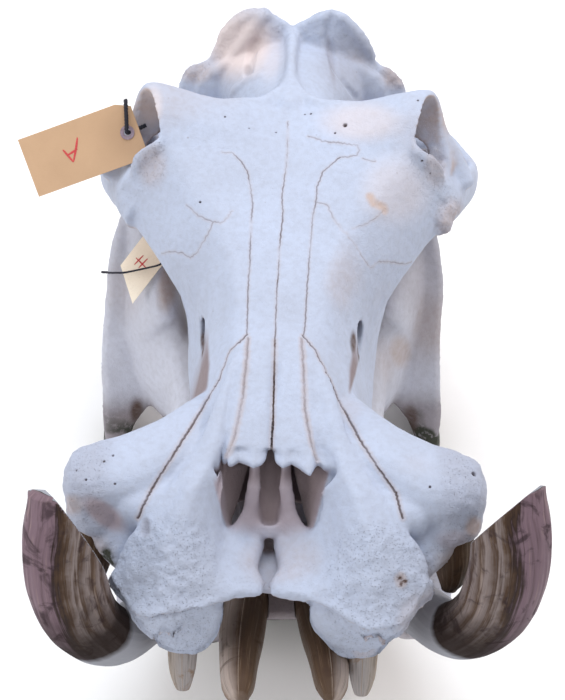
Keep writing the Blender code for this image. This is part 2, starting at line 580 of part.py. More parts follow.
LOWER_INCISOR_INNER = [(27, 132, 132, 19, 19), (32, 95, 142, 20, 20), (36, 55, 156, 20, 20), (38.5, 18, 171, 17, 17),
                       (39.5, -14, 182, 14, 14), (39, -31, 187, 8, 8)]
LOWER_INCISOR_OUTER = [(59, 128, 132, 8, 8), (63, 98, 142, 10.5, 11), (66, 76, 150, 10, 10), (68, 66, 154, 6, 6)]


def swollen(knots, extra):
    """The same column, wider all round and longer at both ends."""
    grown = [(x, s, z, wide + extra, high + extra) for x, s, z, wide, high in knots]
    for end, inner in ((0, 1), (-1, -2)):
        tip, near = Vector(knots[end][:3]), Vector(knots[inner][:3])
        grown[end] = (*(tip + (tip - near).normalized() * extra), *grown[end][3:])
    return grown


def shifted(knots, side, shift):
    """The same column moved sideways, since the incisors do not stand evenly about the middle."""
    return [(x + side * shift, *rest) for x, *rest in knots]


def end_dome(name):
    """The tusks end more bluntly than the other teeth."""
    return (0.2, 0.35) if name.startswith("lower_canine") else (0.2, 0.8)


def tooth(name, knots, side, up, fine=1):
    """One big tooth; fine multiplies its faces around and along."""
    sides = 14 if name.startswith("lower_canine") else 12
    return sweep(name, knots, side=side, up=up, power=2.3, around=sides * fine, steps=2 * fine,
                 dome=end_dome(name))


def facet_block(name, side, tip, away):
    """A block whose lower face is a worn slope at the end of a lower tusk."""
    tip, away = mirror_sign(side, tip), mirror_sign(side, away).normalized()
    mesh = bpy.data.meshes.new(name)
    bm = bmesh.new()
    bmesh.ops.create_cube(bm, size=200.0 * MM)
    turn = away.to_track_quat("Z", "Y").to_matrix().to_4x4()
    bm.transform(Matrix.Translation((tip + away * 100) * MM) @ turn)
    bm.to_mesh(mesh)
    bm.free()
    return bpy.data.objects.new(name, mesh)


BIG_TEETH = (
    ("lower_canine", TUSK, (0, 1, 0), "jaw", 0),
    ("lower_incisor_inner", LOWER_INCISOR_INNER, (1, 0, 0), "jaw", -3),
    ("lower_incisor_outer", LOWER_INCISOR_OUTER, (1, 0, 0), "jaw", -3),
    ("upper_canine", UPPER_CANINE, (1, 0, 0), "cranium", 0),
    ("upper_incisor", UPPER_INCISOR, (1, 0, 0), "cranium", 2),
)


# The two tags, the ring round the large one's hole, and what they are tied with

CORD_HALF = 2.2
CORD = [(65.0, -8.4, 1.0), (58.5, -7.5, 0.5), (52.0, -6.8, 0.0), (47.6, -4.5, 0.0), (46.0, 0.0, 0.0),
        (46.3, 4.4, 1.4), (48.5, 4.6, 7.6), (50.6, 4.2, 14.2), (52.5, 4.2, 20.0), (53.9, 4.4, 24.5),
        (54.8, 3.4, 27.8), (55.3, 1.2, 29.8)]
STRING_HALF = 1.2
STRING = [(-121.7, 420.1, 276.2), (-124.0, 416.5, 274.0), (-127.1, 415.1, 269.7), (-145.1, 418.4, 260.8),
          (-162.3, 415.8, 257.8), (-171.6, 422.4, 251.3), (-181.3, 436.3, 238.6), (-191.4, 452.8, 224.2),
          (-194.3, 465.0, 213.9), (-187.7, 471.9, 207.9)]
SMALL_TAG_THICK = 1.0
SMALL_TAG_SIDES = (56.0, 41.0)
SMALL_TAG_SKEW = math.radians(35.0)
SMALL_TAG_PLACE = (-144.8, 428.1, 260.8)
SMALL_TAG_TILT = (math.radians(-44.5), math.radians(-54.0))


def flat_piece(name, outlines, thick):
    """A flat plate in the XZ plane; every outline after the first is a hole."""
    curve = bpy.data.curves.new(name, "CURVE")
    curve.dimensions = "2D"
    curve.fill_mode = "BOTH"
    curve.extrude = thick / 2 * MM
    for outline in outlines:
        spline = curve.splines.new("POLY")
        spline.points.add(len(outline) - 1)
        for point, (x, z) in zip(spline.points, outline):
            point.co = (x * MM, z * MM, 0, 1)
        spline.use_cyclic_u = True
    obj = bpy.data.objects.new(name, curve)
    stand = Matrix.Rotation(math.radians(90), 4, "X")
    return obj, stand


def circle(x, z, radius, count=20):
    return [(x + radius * math.cos(2 * math.pi * k / count), z + radius * math.sin(2 * math.pi * k / count))
            for k in range(count)]


def placed(point, tilt):
    x_turn, y_turn = tilt
    return (Matrix.Translation(Vector(point) * MM) @ Matrix.Rotation(x_turn, 4, "X")
            @ Matrix.Rotation(y_turn, 4, "Y"))


def cord(name, route, half, per_step):
    """A round cord along a smooth line through its route."""
    points = smooth_line(route, (len(route) - 1) * per_step + 1)
    curve = bpy.data.curves.new(name, "CURVE")
    curve.dimensions = "3D"
    curve.bevel_depth = half * MM
    curve.bevel_resolution = 2
    curve.use_fill_caps = True
    spline = curve.splines.new("POLY")
    spline.points.add(len(points) - 1)
    for point, position in zip(spline.points, points):
        point.co = (*(Vector(position) * MM), 1)
    return bpy.data.objects.new(name, curve)


def tags():
    """Each tag piece with its place and its material's name."""
    long, wide, (cut_long, cut_wide) = TAG_LENGTH / 2, TAG_WIDTH / 2, TAG_CORNER
    hole_x = long - TAG_HOLE_IN
    outline = [(-long, -wide), (long - cut_long, -wide), (long, cut_wide - wide), (long, wide - cut_wide),
               (long - cut_long, wide), (-long, wide)]
    place = placed(TAG_PLACE, TAG_TILT)
    made = []
    card, stand = flat_piece("specimen_tag", [outline, circle(hole_x, 0, TAG_HOLE)], TAG_THICK)
    made.append((card, place @ stand, "card"))
    ring, stand = flat_piece("tag_ring", [circle(hole_x, 0, TAG_RING), circle(hole_x, 0, TAG_HOLE)], TAG_RING_THICK)
    step_out = Matrix.Translation(Vector((0, -((TAG_THICK + TAG_RING_THICK) / 2 + TAG_RING_GAP), 0)) * MM)
    made.append((ring, place @ step_out @ stand, "ring"))
    long, wide = SMALL_TAG_SIDES[0] / 2, SMALL_TAG_SIDES[1] / 2
    lean = math.sin(SMALL_TAG_SKEW) * wide
    high = math.cos(SMALL_TAG_SKEW) * wide
    outline = [(-long - lean, -high), (long - lean, -high), (long + lean, high), (-long + lean, high)]
    card, stand = flat_piece("small_tag", [outline], SMALL_TAG_THICK)
    made.append((card, placed(SMALL_TAG_PLACE, SMALL_TAG_TILT) @ stand, "card"))
    route = [(along, -front, across) for along, front, across in CORD]
    made.append((cord("tag_cord", route, CORD_HALF, 2), place, "string"))
    made.append((cord("small_tag_string", STRING, STRING_HALF, 3), Matrix(), "string"))
    return made


# Joining pieces into one bone

def evaluated_copy(obj):
    graph = bpy.context.evaluated_depsgraph_get()
    return bpy.data.meshes.new_from_object(obj.evaluated_get(graph))


def settle(obj):
    """Turns an object's modifiers into its own mesh."""
    bpy.context.view_layer.update()
    mesh = evaluated_copy(obj)
    obj.modifiers.clear()
    obj.data = mesh


def keep_largest(obj):
    """Keeps the closed surface with the most faces, which drops scraps and sealed hollows."""
    bm = bmesh.new()
    bm.from_mesh(obj.data)
    left = set(bm.faces)
    groups = []
    while left:
        seed = left.pop()
        group, edge = [seed], [seed]
        while edge:
            face_now = edge.pop()
            for e in face_now.edges:
                for other in e.link_faces:
                    if other in left:
                        left.remove(other)
                        group.append(other)
                        edge.append(other)
        groups.append(group)
    groups.sort(key=len)
    bmesh.ops.delete(bm, geom=[f for g in groups[:-1] for f in g], context="FACES")
    bmesh.ops.delete(bm, geom=[v for v in bm.verts if not v.link_faces], context="VERTS")
    bm.to_mesh(obj.data)
    bm.free()


def combine(obj, pieces, operation, solver="EXACT"):
    """Joins pieces to obj, or cuts them from it, with one Boolean, and removes them."""
    helpers = collection(f"{obj.name}_{operation.lower()}")
    for piece in pieces:
        helpers.objects.link(piece)
        piece.hide_render = True
        piece.display_type = "WIRE"
    cut = obj.modifiers.new(operation.title(), "BOOLEAN")
    cut.operand_type = "COLLECTION"
    cut.collection = helpers
    cut.operation = operation
    cut.solver = solver
    settle(obj)
    for piece in pieces:
        bpy.data.objects.remove(piece, do_unlink=True)
    bpy.data.collections.remove(helpers)


def fuse(name, pieces, voxel, rounds):
    """One closed skin over overlapping pieces: joined as they are, remeshed on a fine grid, and smoothed."""
    bm = bmesh.new()
    for piece in pieces:
        bm.from_mesh(piece.data)
        bpy.data.objects.remove(piece, do_unlink=True)
    mesh = bpy.data.meshes.new(name)
    bm.to_mesh(mesh)
    bm.free()
    obj = bpy.data.objects.new(name, mesh)
    bones.objects.link(obj)
    grid = obj.modifiers.new("Grid", "REMESH")
    grid.mode = "VOXEL"
    grid.voxel_size = voxel * MM
    relax = obj.modifiers.new("Relax", "SMOOTH")
    relax.factor = 0.5
    relax.iterations = rounds
    settle(obj)
    return obj


def thin_out(obj, faces):
    """Thins an even mesh down to about this many triangles, fewest where it is flat."""
    cut = obj.modifiers.new("Thin", "DECIMATE")
    cut.ratio = faces / sum(len(p.vertices) - 2 for p in obj.data.polygons)
    settle(obj)


def jaw_place():
    """The lower jaw lies a little askew under the cranium."""
    pivot = Vector((0, JAW_PIVOT_S, 0)) * MM
    moved = pivot + Vector((JAW_SHIFT_X, 0, 0)) * MM
    return Matrix.Translation(moved) @ Matrix.Rotation(JAW_TWIST, 4, "Z") @ Matrix.Translation(-pivot)


def rest_on(parent, obj, place=None):
    """Links an object below a parent, at a place in the parent's own frame."""
    if obj.name not in bones.objects:
        bones.objects.link(obj)
    obj.parent = parent
    obj.matrix_parent_inverse = Matrix()
    obj.matrix_basis = place or Matrix()


def finish(obj, look):
    obj.data.materials.clear()
    obj.data.materials.append(look)
    if obj.type == "MESH":
        obj.data.shade_smooth()


clear_scene()
bones = collection("hippo_skull")
LOOKS = {
    "bone": material("bone", BONE_COLOUR, 0.7),
    "jaw_bone": material("jaw_bone", JAW_COLOUR, 0.75),
    "ivory": material("ivory", IVORY_COLOUR, 0.4),
    "tooth": material("tooth", TOOTH_COLOUR, 0.45),
    "card": material("card", CARD_COLOUR, 0.8),
    "ring": material("ring", RING_COLOUR, 0.6),
    "string": material("string", STRING_COLOUR, 0.8),
}


def make_cranium(voxel, smooth_rounds):
    obj = fuse("cranium", [face()] + snout_pieces() + brow_pieces() + braincase_pieces(), voxel, 2)
    combine(obj, cranium_cutters(), "DIFFERENCE", BONE_SOLVER)
    combine(obj, nose_pieces() + cheek_teeth("upper_tooth", UPPER_TEETH, True), "UNION", BONE_SOLVER)
    combine(obj, nose_cutters(), "DIFFERENCE", BONE_SOLVER)
    obj = fuse("cranium", [obj], voxel, smooth_rounds)
    keep_largest(obj)
    return obj


def make_jaw(voxel, smooth_rounds):
    obj = fuse("mandible", jaw_pieces(), voxel, 2)
    combine(obj, jaw_cutters(), "DIFFERENCE", BONE_SOLVER)
    combine(obj, cheek_teeth("lower_tooth", LOWER_TEETH, False), "UNION", BONE_SOLVER)
    obj = fuse("mandible", [obj], voxel, smooth_rounds)
    bend_jaw(obj.data)
    keep_largest(obj)
    return obj


def build(voxel=BONE_VOXEL, thin=True, smooth_rounds=5, fine=1):
    skull_frame = bpy.data.objects.new("skull_frame", None)
    jaw_frame = bpy.data.objects.new("jaw_frame", None)
    rest_on(None, skull_frame, Matrix.Translation(Vector((-ORIGIN_X, -ORIGIN_S, 0)) * MM))
    rest_on(skull_frame, jaw_frame, jaw_place())
    cranium = make_cranium(voxel, smooth_rounds)
    jaw = make_jaw(voxel, smooth_rounds)
    if thin:
        thin_out(cranium, CRANIUM_FACES)
        thin_out(jaw, MANDIBLE_FACES)
    for host, obj in (("cranium", cranium), ("jaw", jaw)):
        sockets = [tooth(f"{name}_{tag}_socket", swollen(shifted(knots, side, shift), GAP), side, up, fine)
                   for name, knots, up, where, shift in BIG_TEETH if where == host
                   for side, tag in ((1, "right"), (-1, "left"))]
        combine(obj, sockets + ([floor_block("floor_block")] if host == "jaw" else []), "DIFFERENCE", BONE_SOLVER)
        keep_largest(obj)
    rest_on(skull_frame, cranium)
    rest_on(jaw_frame, jaw)
    finish(cranium, LOOKS["bone"])
    finish(jaw, LOOKS["jaw_bone"])
    for name, knots, up, where, shift in BIG_TEETH:
        for side, tag in ((1, "right"), (-1, "left")):
            made = tooth(f"{name}_{tag}", shifted(knots, side, shift), side, up, fine)
            bones.objects.link(made)
            if name == "lower_canine":
                for tip, away in TUSK_FACETS[side]:
                    combine(made, [facet_block(f"{name}_facet_{tag}", side, tip, away)], "DIFFERENCE")
            rest_on(jaw_frame if where == "jaw" else skull_frame, made)
            finish(made, LOOKS["ivory" if name == "lower_canine" else "tooth"])
    for piece, place, look in tags():
        rest_on(skull_frame, piece, place)
        finish(piece, LOOKS[look])
    bpy.context.view_layer.update()


if __name__ == "__main__":
    build()
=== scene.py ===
# %% [markdown]
# # A hippopotamus skull on a pale floor
# The real object is a weathered skull with its lower jaw closed, two great curved lower tusks, and two
# paper tags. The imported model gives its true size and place. This lesson builds a finer skin for every bone
# and tooth on the same measured lines, presses in seams and pores, and paints each surface with procedural
# materials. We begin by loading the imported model, because every later piece stands for one of its nodes.

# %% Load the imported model
import json
import math

import bmesh
import bpy
import numpy as np
from mathutils import Matrix, Vector
from mathutils.bvhtree import BVHTree

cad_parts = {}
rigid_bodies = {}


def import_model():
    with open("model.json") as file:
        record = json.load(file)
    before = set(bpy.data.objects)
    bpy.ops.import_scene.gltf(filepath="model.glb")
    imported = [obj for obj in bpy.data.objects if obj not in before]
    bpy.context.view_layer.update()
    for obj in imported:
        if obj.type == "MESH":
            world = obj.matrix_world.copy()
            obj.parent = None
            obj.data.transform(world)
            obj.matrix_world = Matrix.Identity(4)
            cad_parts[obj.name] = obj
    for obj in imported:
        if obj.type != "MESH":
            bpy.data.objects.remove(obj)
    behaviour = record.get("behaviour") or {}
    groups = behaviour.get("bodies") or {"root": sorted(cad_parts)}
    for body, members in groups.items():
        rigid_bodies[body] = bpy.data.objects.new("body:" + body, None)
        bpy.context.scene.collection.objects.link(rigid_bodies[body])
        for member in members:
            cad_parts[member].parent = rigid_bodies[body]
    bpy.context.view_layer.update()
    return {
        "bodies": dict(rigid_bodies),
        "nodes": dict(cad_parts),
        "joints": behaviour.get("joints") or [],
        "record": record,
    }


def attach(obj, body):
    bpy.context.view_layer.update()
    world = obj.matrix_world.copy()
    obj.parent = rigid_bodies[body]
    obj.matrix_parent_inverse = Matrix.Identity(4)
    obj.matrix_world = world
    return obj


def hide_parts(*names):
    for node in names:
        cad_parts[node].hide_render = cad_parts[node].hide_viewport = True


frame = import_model()

# %% [markdown]
# ## The skull's own lengths, and the camera
# A skull is easiest to measure from its snout: x runs across, s runs back from the front of the
# premaxillae, and z rises from the floor, all in millimetres. One matrix moves those lengths to the packed
# model's frame. The camera could be placed by eye, but known widths and heights on the skull fix it much
# better, so its place, its three turns and its lens come from lining up such landmarks with a 565 x 700
# picture.

# %% Lengths and camera
MM = 0.001
ORIGIN_X, ORIGIN_S = -18.3, 327.9
SKULL_PLACE = Matrix.Translation(Vector((-ORIGIN_X, -ORIGIN_S, 0)) * MM)
JAW_TWIST = math.radians(3.3)
JAW_PIVOT_S = 300.0
JAW_SHIFT_X = -1.6
JAW_PLACE = (SKULL_PLACE @ Matrix.Translation(Vector((JAW_SHIFT_X, JAW_PIVOT_S, 0)) * MM)
             @ Matrix.Rotation(JAW_TWIST, 4, "Z") @ Matrix.Translation(Vector((0, -JAW_PIVOT_S, 0)) * MM))

EYE = Vector((27.4, -720.3, 1270.8))
PITCH, YAW, ROLL = math.radians(44.51), math.radians(-1.48), math.radians(0.48)
PICTURE = (565, 700)
LENS_PIXELS = 1503.0
SENSOR_WIDTH = 36


def camera_axes():
    """Unit vectors to the right of, above and into the picture."""
    ahead = Vector((math.sin(YAW) * math.cos(PITCH), math.cos(YAW) * math.cos(PITCH), -math.sin(PITCH)))
    level = Vector((math.cos(YAW), -math.sin(YAW), 0))
    over = level.cross(ahead)
    right = level * math.cos(ROLL) + over * math.sin(ROLL)
    above = over * math.cos(ROLL) - level * math.sin(ROLL)
    return right, above, ahead


RIGHT, ABOVE, AHEAD = camera_axes()
camera = bpy.data.objects.new("camera", bpy.data.cameras.new("camera"))
bpy.context.scene.collection.objects.link(camera)
facing = Matrix((RIGHT, ABOVE, -AHEAD)).transposed().to_4x4()
camera.matrix_world = SKULL_PLACE @ Matrix.Translation(EYE * MM) @ facing
camera.data.sensor_fit = "HORIZONTAL"
camera.data.sensor_width = SENSOR_WIDTH
camera.data.lens = SENSOR_WIDTH * LENS_PIXELS / PICTURE[0]
bpy.context.scene.camera = camera


def sight_line(u, v):
    """The direction from the camera through a pixel, in the skull's lengths."""
    across = (u - PICTURE[0] / 2) / LENS_PIXELS
    down = (v - PICTURE[1] / 2) / LENS_PIXELS
    return (AHEAD + RIGHT * across - ABOVE * down).normalized()


print("lens", round(camera.data.lens, 1), "mm, camera at",
      [round(v, 3) for v in camera.matrix_world.translation])

# %% [markdown]
# ## Smooth lines from a few measured points
# Bone has no straight edges, so each size is a smooth function through a handful of measured points. A
# spline through all of them overshoots where a slope changes fast, so sizes that must stay put use a guide
# with held slopes.

# %% Smooth lines
def smooth_line(knots, count):
    """Points along a smooth line through knots, which are tuples of equal length, evenly spread by knot."""
    rows = []
    last = len(knots) - 1
    for i in range(count):
        t = i * last / (count - 1)
        k = min(int(t), last - 1)
        f = t - k
        nearest = knots[max(k - 1, 0)], knots[k], knots[k + 1], knots[min(k + 2, last)]
        rows.append(tuple(
            0.5 * (2 * b + (c - a) * f + (2 * a - 5 * b + 4 * c - d) * f * f
                   + (3 * b - a - 3 * c + d) * f ** 3)
            for a, b, c, d in zip(*nearest)))
    return rows


def guide(*knots):
    """A smooth function through (position, value) knots, with no overshoot between them."""
    slopes = []
    steps = [(b[1] - a[1]) / (b[0] - a[0]) for a, b in zip(knots, knots[1:])]
    for i in range(len(knots)):
        near = steps[max(i - 1, 0):i + 1]
        flat = len(near) == 2 and near[0] * near[1] <= 0
        slopes.append(0.0 if flat else 2 * near[0] * near[-1] / (near[0] + near[-1]) if near[0] else 0.0)

    def read(t):
        t = min(max(t, knots[0][0]), knots[-1][0])
        k = next(i for i in range(len(knots) - 1) if t <= knots[i + 1][0])
        (a, va), (b, vb) = knots[k], knots[k + 1]
        h = b - a
        f = (t - a) / h
        return (va * (2 * f ** 3 - 3 * f * f + 1) + vb * (3 * f * f - 2 * f ** 3)
                + h * slopes[k] * (f ** 3 - 2 * f * f + f) + h * slopes[k + 1] * (f ** 3 - f * f))

    return read


def bite_line(s):
    """Height of the plane where the cheek teeth meet, which rises towards the back."""
    return 172.0 + BITE_SLOPE * (s - 180.0)


BITE_SLOPE = 0.13
GAP = 0.4
print("halfway along a three-knot line:", smooth_line([(0, 0), (10, 5), (20, 0)], 5)[2])

# %% [markdown]
# ## Skins, tubes, plates and balls
# Each bone is a union of simple closed skins. A ring-by-ring loft suits them all: a tube is a loft of ovals
# along a line, a plate is a loft of thin blades, and the face is one loft of twenty cross-sections.
# Sculpting a block by hand could also work, but lofts keep every width tied to a measured number.

# %% Skins and tubes
def mesh_of(name, bm):
    mesh = bpy.data.meshes.new(name)
    bm.to_mesh(mesh)
    bm.free()
    return mesh


def linked(name, data):
    obj = bpy.data.objects.new(name, data)
    bpy.context.scene.collection.objects.link(obj)
    return obj


def skin(name, rings, closed_path=False):
    """One closed mesh through rings with equal counts, with a fan over each end."""
    bm = bmesh.new()
    rows = [[bm.verts.new(Vector(p) * MM) for p in ring] for ring in rings]
    count = len(rows[0])
    pairs = list(zip(rows, rows[1:])) + ([(rows[-1], rows[0])] if closed_path else [])
    for low, high in pairs:
        for i in range(count):
            j = (i + 1) % count
            bm.faces.new((low[i], low[j], high[j], high[i]))
    if not closed_path:
        for row in (rows[0], rows[-1]):
            centre = bm.verts.new(sum((v.co for v in row), Vector()) / count)
            for i in range(count):
                bm.faces.new((row[i], row[(i + 1) % count], centre))
    bmesh.ops.recalc_face_normals(bm, faces=bm.faces)
    return bpy.data.objects.new(name, mesh_of(name, bm))


def mirror_sign(side, point):
    return Vector((side * point[0], point[1], point[2]))


def sweep(name, knots, side=1, steps=5, around=20, up=(0, 0, 1), power=2.0, dome=(0.6, 0.6),
          closed_path=False):
    """A tube of oval rings along knots of (x, s, z, half width, half height).

    dome rounds each end by that share of its size."""
    if closed_path:
        knots = list(knots) + [knots[0]]
    rows = smooth_line(knots, (len(knots) - 1) * steps + 1)
    if closed_path:
        rows = rows[:-1]
    points = [mirror_sign(side, row) for row in rows]
    up = mirror_sign(side, up)
    rings = []
    frames = []
    for i, (point, row) in enumerate(zip(points, rows)):
        if closed_path:
            along = points[(i + 1) % len(points)] - points[i - 1]
        else:
            along = points[min(i + 1, len(points) - 1)] - points[max(i - 1, 0)]
        along.normalize()
        across = along.cross(up).normalized()
        lift = across.cross(along).normalized()
        frames.append((point, along, across, lift, row[3], row[4]))
    if not closed_path:
        frames = domed(frames, dome)
    for point, _, across, lift, wide, high in frames:
        ring = []
        for k in range(around):
            angle = 2 * math.pi * k / around
            c, n = math.cos(angle), math.sin(angle)
            ring.append(point + across * wide * math.copysign(abs(c) ** (2 / power), c)
                        + lift * high * math.copysign(abs(n) ** (2 / power), n))
        rings.append(ring)
    return skin(name, rings, closed_path)


def domed(frames, dome):
    """Adds shrinking rings past both ends, so that an end is rounded."""
    def cap(frame, direction, share):
        point, along, across, lift, wide, high = frame
        reach = min(wide, high) * share
        added = []
        for angle in (30, 60, 80):
            turn = math.radians(angle)
            centre = point + along * direction * reach * math.sin(turn)
            added.append((centre, along, across, lift, wide * math.cos(turn), high * math.cos(turn)))
        return added

    front = cap(frames[0], -1, dome[0]) if dome[0] else []
    back = cap(frames[-1], 1, dome[1]) if dome[1] else []
    return front[::-1] + frames + back


def blade(name, rim, root, side=1, steps=4, rim_half=4.0, root_half=10.0, bow=0.0):
    """A plate between a rim line and a root line, thin at the rim; bow bends it sideways between them."""
    count = (len(rim) - 1) * steps + 1
    rims = [mirror_sign(side, p) for p in smooth_line(rim, count)]
    roots = [mirror_sign(side, p) for p in smooth_line(root, count)]
    middles = [(a + b) / 2 for a, b in zip(rims, roots)]
    rings = []
    for i in range(count):
        along = (middles[min(i + 1, count - 1)] - middles[max(i - 1, 0)]).normalized()
        out = rims[i] - roots[i]
        normal = along.cross(out).normalized() * side
        reach = out.length
        out.normalize()
        ring = []
        for share in (0, 0.33, 0.66, 0.9):
            half = root_half + (rim_half - root_half) * share
            centre = roots[i] + out * reach * share + normal * bow * 4 * share * (1 - share)
            ring.append((centre, half))
        upper = [c + normal * h for c, h in ring]
        lower = [c - normal * h for c, h in reversed(ring)]
        rings.append([roots[i] - out * root_half * 0.6] + upper + [rims[i]] + lower)
    return skin(name, rings)


def ball(name, centre, radii, side=1, turn=(0, 0, 0)):
    """An ellipsoid; turn is in degrees about x, y and z."""
    bm = bmesh.new()
    bmesh.ops.create_uvsphere(bm, u_segments=20, v_segments=12, radius=1.0)
    bm.transform(Matrix.Diagonal((*(r * MM for r in radii), 1)))
    tilt = Matrix.Rotation(math.radians(turn[2] * side), 4, "Z")
    tilt = tilt @ Matrix.Rotation(math.radians(turn[1] * side), 4, "Y")
    bm.transform(tilt @ Matrix.Rotation(math.radians(turn[0]), 4, "X"))
    bm.transform(Matrix.Translation(mirror_sign(side, centre) * MM))
    return bpy.data.objects.new(name, mesh_of(name, bm))


def both(make, name, *sizes, **options):
    """The same piece on the right and the left."""
    return [make(f"{name}_{tag}", *sizes, side=side, **options)
            for side, tag in ((1, "right"), (-1, "left"))]


print("a tube, a plate and a ball are the stock for every bone")

# %% [markdown]
# ## The face
# From above, the hippo's face is a long narrow box that widens to the eye sockets. One loft from the
# nostrils to the brow gives it, with guides for the roof, the walls, the cheek and the palate.

# %% The face loft
FACE_STATIONS = (118, 132, 150, 170, 200, 240, 280, 305, 325, 345, 365, 385, 405, 425, 440, 452, 466, 480,
                 494, 506)

ROOF_Z = guide((100, 305), (130, 315), (240, 344), (300, 356), (380, 371), (450, 387), (506, 398))
SHOULDER_X = guide((100, 54), (130, 52), (165, 50), (200, 46), (240, 42), (300, 48), (350, 62), (400, 92),
                   (430, 109), (446, 120), (466, 129), (480, 133), (494, 138), (506, 141))
SHOULDER_Z = guide((100, 300), (130, 310), (200, 328), (240, 336), (300, 349), (350, 363), (400, 382),
                   (430, 395), (446, 403), (466, 420), (480, 427), (494, 430), (506, 427))
WALL_X = guide((100, 74), (130, 80), (165, 78), (200, 70), (240, 67), (280, 67), (320, 76), (360, 100),
               (400, 122), (430, 139), (446, 147), (506, 150))
WALL_Z = guide((100, 268), (200, 292), (280, 305), (320, 317), (360, 335), (400, 352), (430, 366),
               (446, 373), (506, 372))
CHEEK_X = guide((100, 80), (130, 90), (165, 86), (200, 80), (240, 77), (280, 76), (310, 80), (340, 91),
                (370, 112), (400, 136), (420, 151), (446, 172), (506, 176))
CHEEK_Z = guide((100, 244), (200, 262), (280, 262), (310, 265), (340, 281), (370, 297), (400, 314),
                (420, 322), (446, 336), (506, 326))
UNDER_X = guide((100, 76), (200, 82), (280, 82), (340, 90), (370, 102), (400, 118), (430, 136), (455, 148),
                (506, 150))
UNDER_Z = guide((100, 250), (150, 240), (200, 234), (280, 240), (340, 262), (370, 276), (400, 291),
                (430, 301), (455, 308), (506, 314))
GUM_X = guide((100, 64), (200, 80), (280, 86), (360, 90), (430, 88), (470, 78), (506, 64))
GUM_Z = guide((100, 246), (130, 234), (160, 214), (192, 202), (280, 210), (360, 221), (430, 232),
              (455, 246), (480, 276), (506, 300))
PALATE_X = guide((100, 40), (200, 40), (360, 44), (430, 44), (506, 34))
PALATE_Z = guide((100, 248), (130, 240), (160, 226), (200, 216), (280, 224), (360, 234), (430, 244),
                 (455, 256), (480, 282), (506, 304))


def face_ring(s):
    """One cross-section of the face, from the roof's middle down the right side, and back up the left."""
    half = [(0.5 * SHOULDER_X(s), ROOF_Z(s) + 0.45 * (SHOULDER_Z(s) - ROOF_Z(s))),
            (SHOULDER_X(s), SHOULDER_Z(s)), (WALL_X(s), WALL_Z(s)), (CHEEK_X(s), CHEEK_Z(s)),
            (UNDER_X(s), UNDER_Z(s)), (GUM_X(s), GUM_Z(s)), (PALATE_X(s), PALATE_Z(s))]
    corners = ([(0, ROOF_Z(s))] + half + [(0, PALATE_Z(s) + 6)] + [(-x, z) for x, z in reversed(half)])
    loop = smooth_line([corners[-1]] + corners + [corners[0], corners[1]], (len(corners) + 2) * 4 + 1)
    loop = loop[4:4 + 4 * len(corners)]
    return [Vector((x, s, z)) for x, z in loop]


def face():
    return skin("face", [face_ring(s) for s in FACE_STATIONS])


print("face stations:", len(FACE_STATIONS))

# %% [markdown]
# ## The snout
# The premaxillae are two long bones that run from the incisors up beside the nasal bones. Each flares into
# a broad block in front. Behind them the maxillae swell sideways into wings that hold the upper canines.

# %% The snout's pieces
PREMAXILLA_STATIONS = (-3, 2, 7, 12, 18, 24, 29, 35, 43, 52, 60, 70, 80, 90, 97, 104, 112, 124, 140, 160,
                       185, 212, 238)

INNER_X = guide((-3, 78), (3, 71), (8, 64), (14, 55), (20, 44), (24, 36), (28, 9), (35, 6.5), (43, 6),
                (52, 9.5), (60, 12), (70, 10.5), (80, 8), (91, 6), (98, 28), (105, 43), (113, 53),
                (120, 52), (128, 44), (150, 39), (200, 31), (238, 26))
INNER_Z = guide((-3, 244), (8, 249), (27, 250), (90, 250), (104, 296), (113, 311), (150, 322), (200, 334),
                (238, 344))
RIDGE_X = guide((-3, 88), (8, 85), (25, 83), (45, 80), (65, 73), (92, 63), (113, 57), (150, 49), (200, 39),
                (238, 32))
RIDGE_Z = guide((-3, 246), (8, 255), (25, 270), (45, 286), (65, 298), (92, 309), (113, 316), (150, 327),
                (200, 339), (238, 347))
EDGE_X = guide((-3, 100), (5, 110), (15, 118), (27, 125), (35, 137), (42, 131), (54, 128), (66, 116),
               (75, 107), (92, 93), (117, 77), (135, 66), (170, 55), (200, 46), (238, 34))
EDGE_Z = guide((-3, 240), (5, 241), (15, 243), (35, 254), (54, 270), (66, 284), (75, 291), (92, 301),
               (117, 309), (135, 316), (170, 327), (200, 335), (238, 345))
KEEL_X = guide((-3, 88), (25, 86), (65, 76), (92, 66), (113, 58), (150, 50), (238, 30))
KEEL_Z = guide((-3, 236), (25, 226), (65, 232), (92, 238), (113, 262), (150, 296), (238, 330))


def premaxilla_ring(s, side):
    """Inner edge, hollow slope, rounded ridge, outer edge, and the underside back to the inner edge."""
    inner, ridge, edge = (INNER_X(s), INNER_Z(s)), (RIDGE_X(s), RIDGE_Z(s)), (EDGE_X(s), EDGE_Z(s))
    front = min(max((104 - s) / 14, 0), 1)
    slope = (0.5 * (inner[0] + ridge[0]), inner[1] + (0.52 - 0.24 * front) * (ridge[1] - inner[1]))
    shoulder = (0.45 * ridge[0] + 0.55 * edge[0], 0.6 * ridge[1] + 0.4 * edge[1])
    under = (edge[0] - 7, edge[1] - 8 - 12 * front)
    corners = [inner, slope, ridge, shoulder, edge, under, (KEEL_X(s), KEEL_Z(s)),
               (inner[0] + 3, inner[1] - 12 - 6 * front)]
    loop = smooth_line([corners[-1]] + corners + [corners[0], corners[1]], (len(corners) + 2) * 3 + 1)
    return [Vector((side * x, s, z)) for x, z in loop[3:3 + 3 * len(corners)]]


def premaxilla(name, side):
    return skin(name, [premaxilla_ring(s, side) for s in PREMAXILLA_STATIONS])


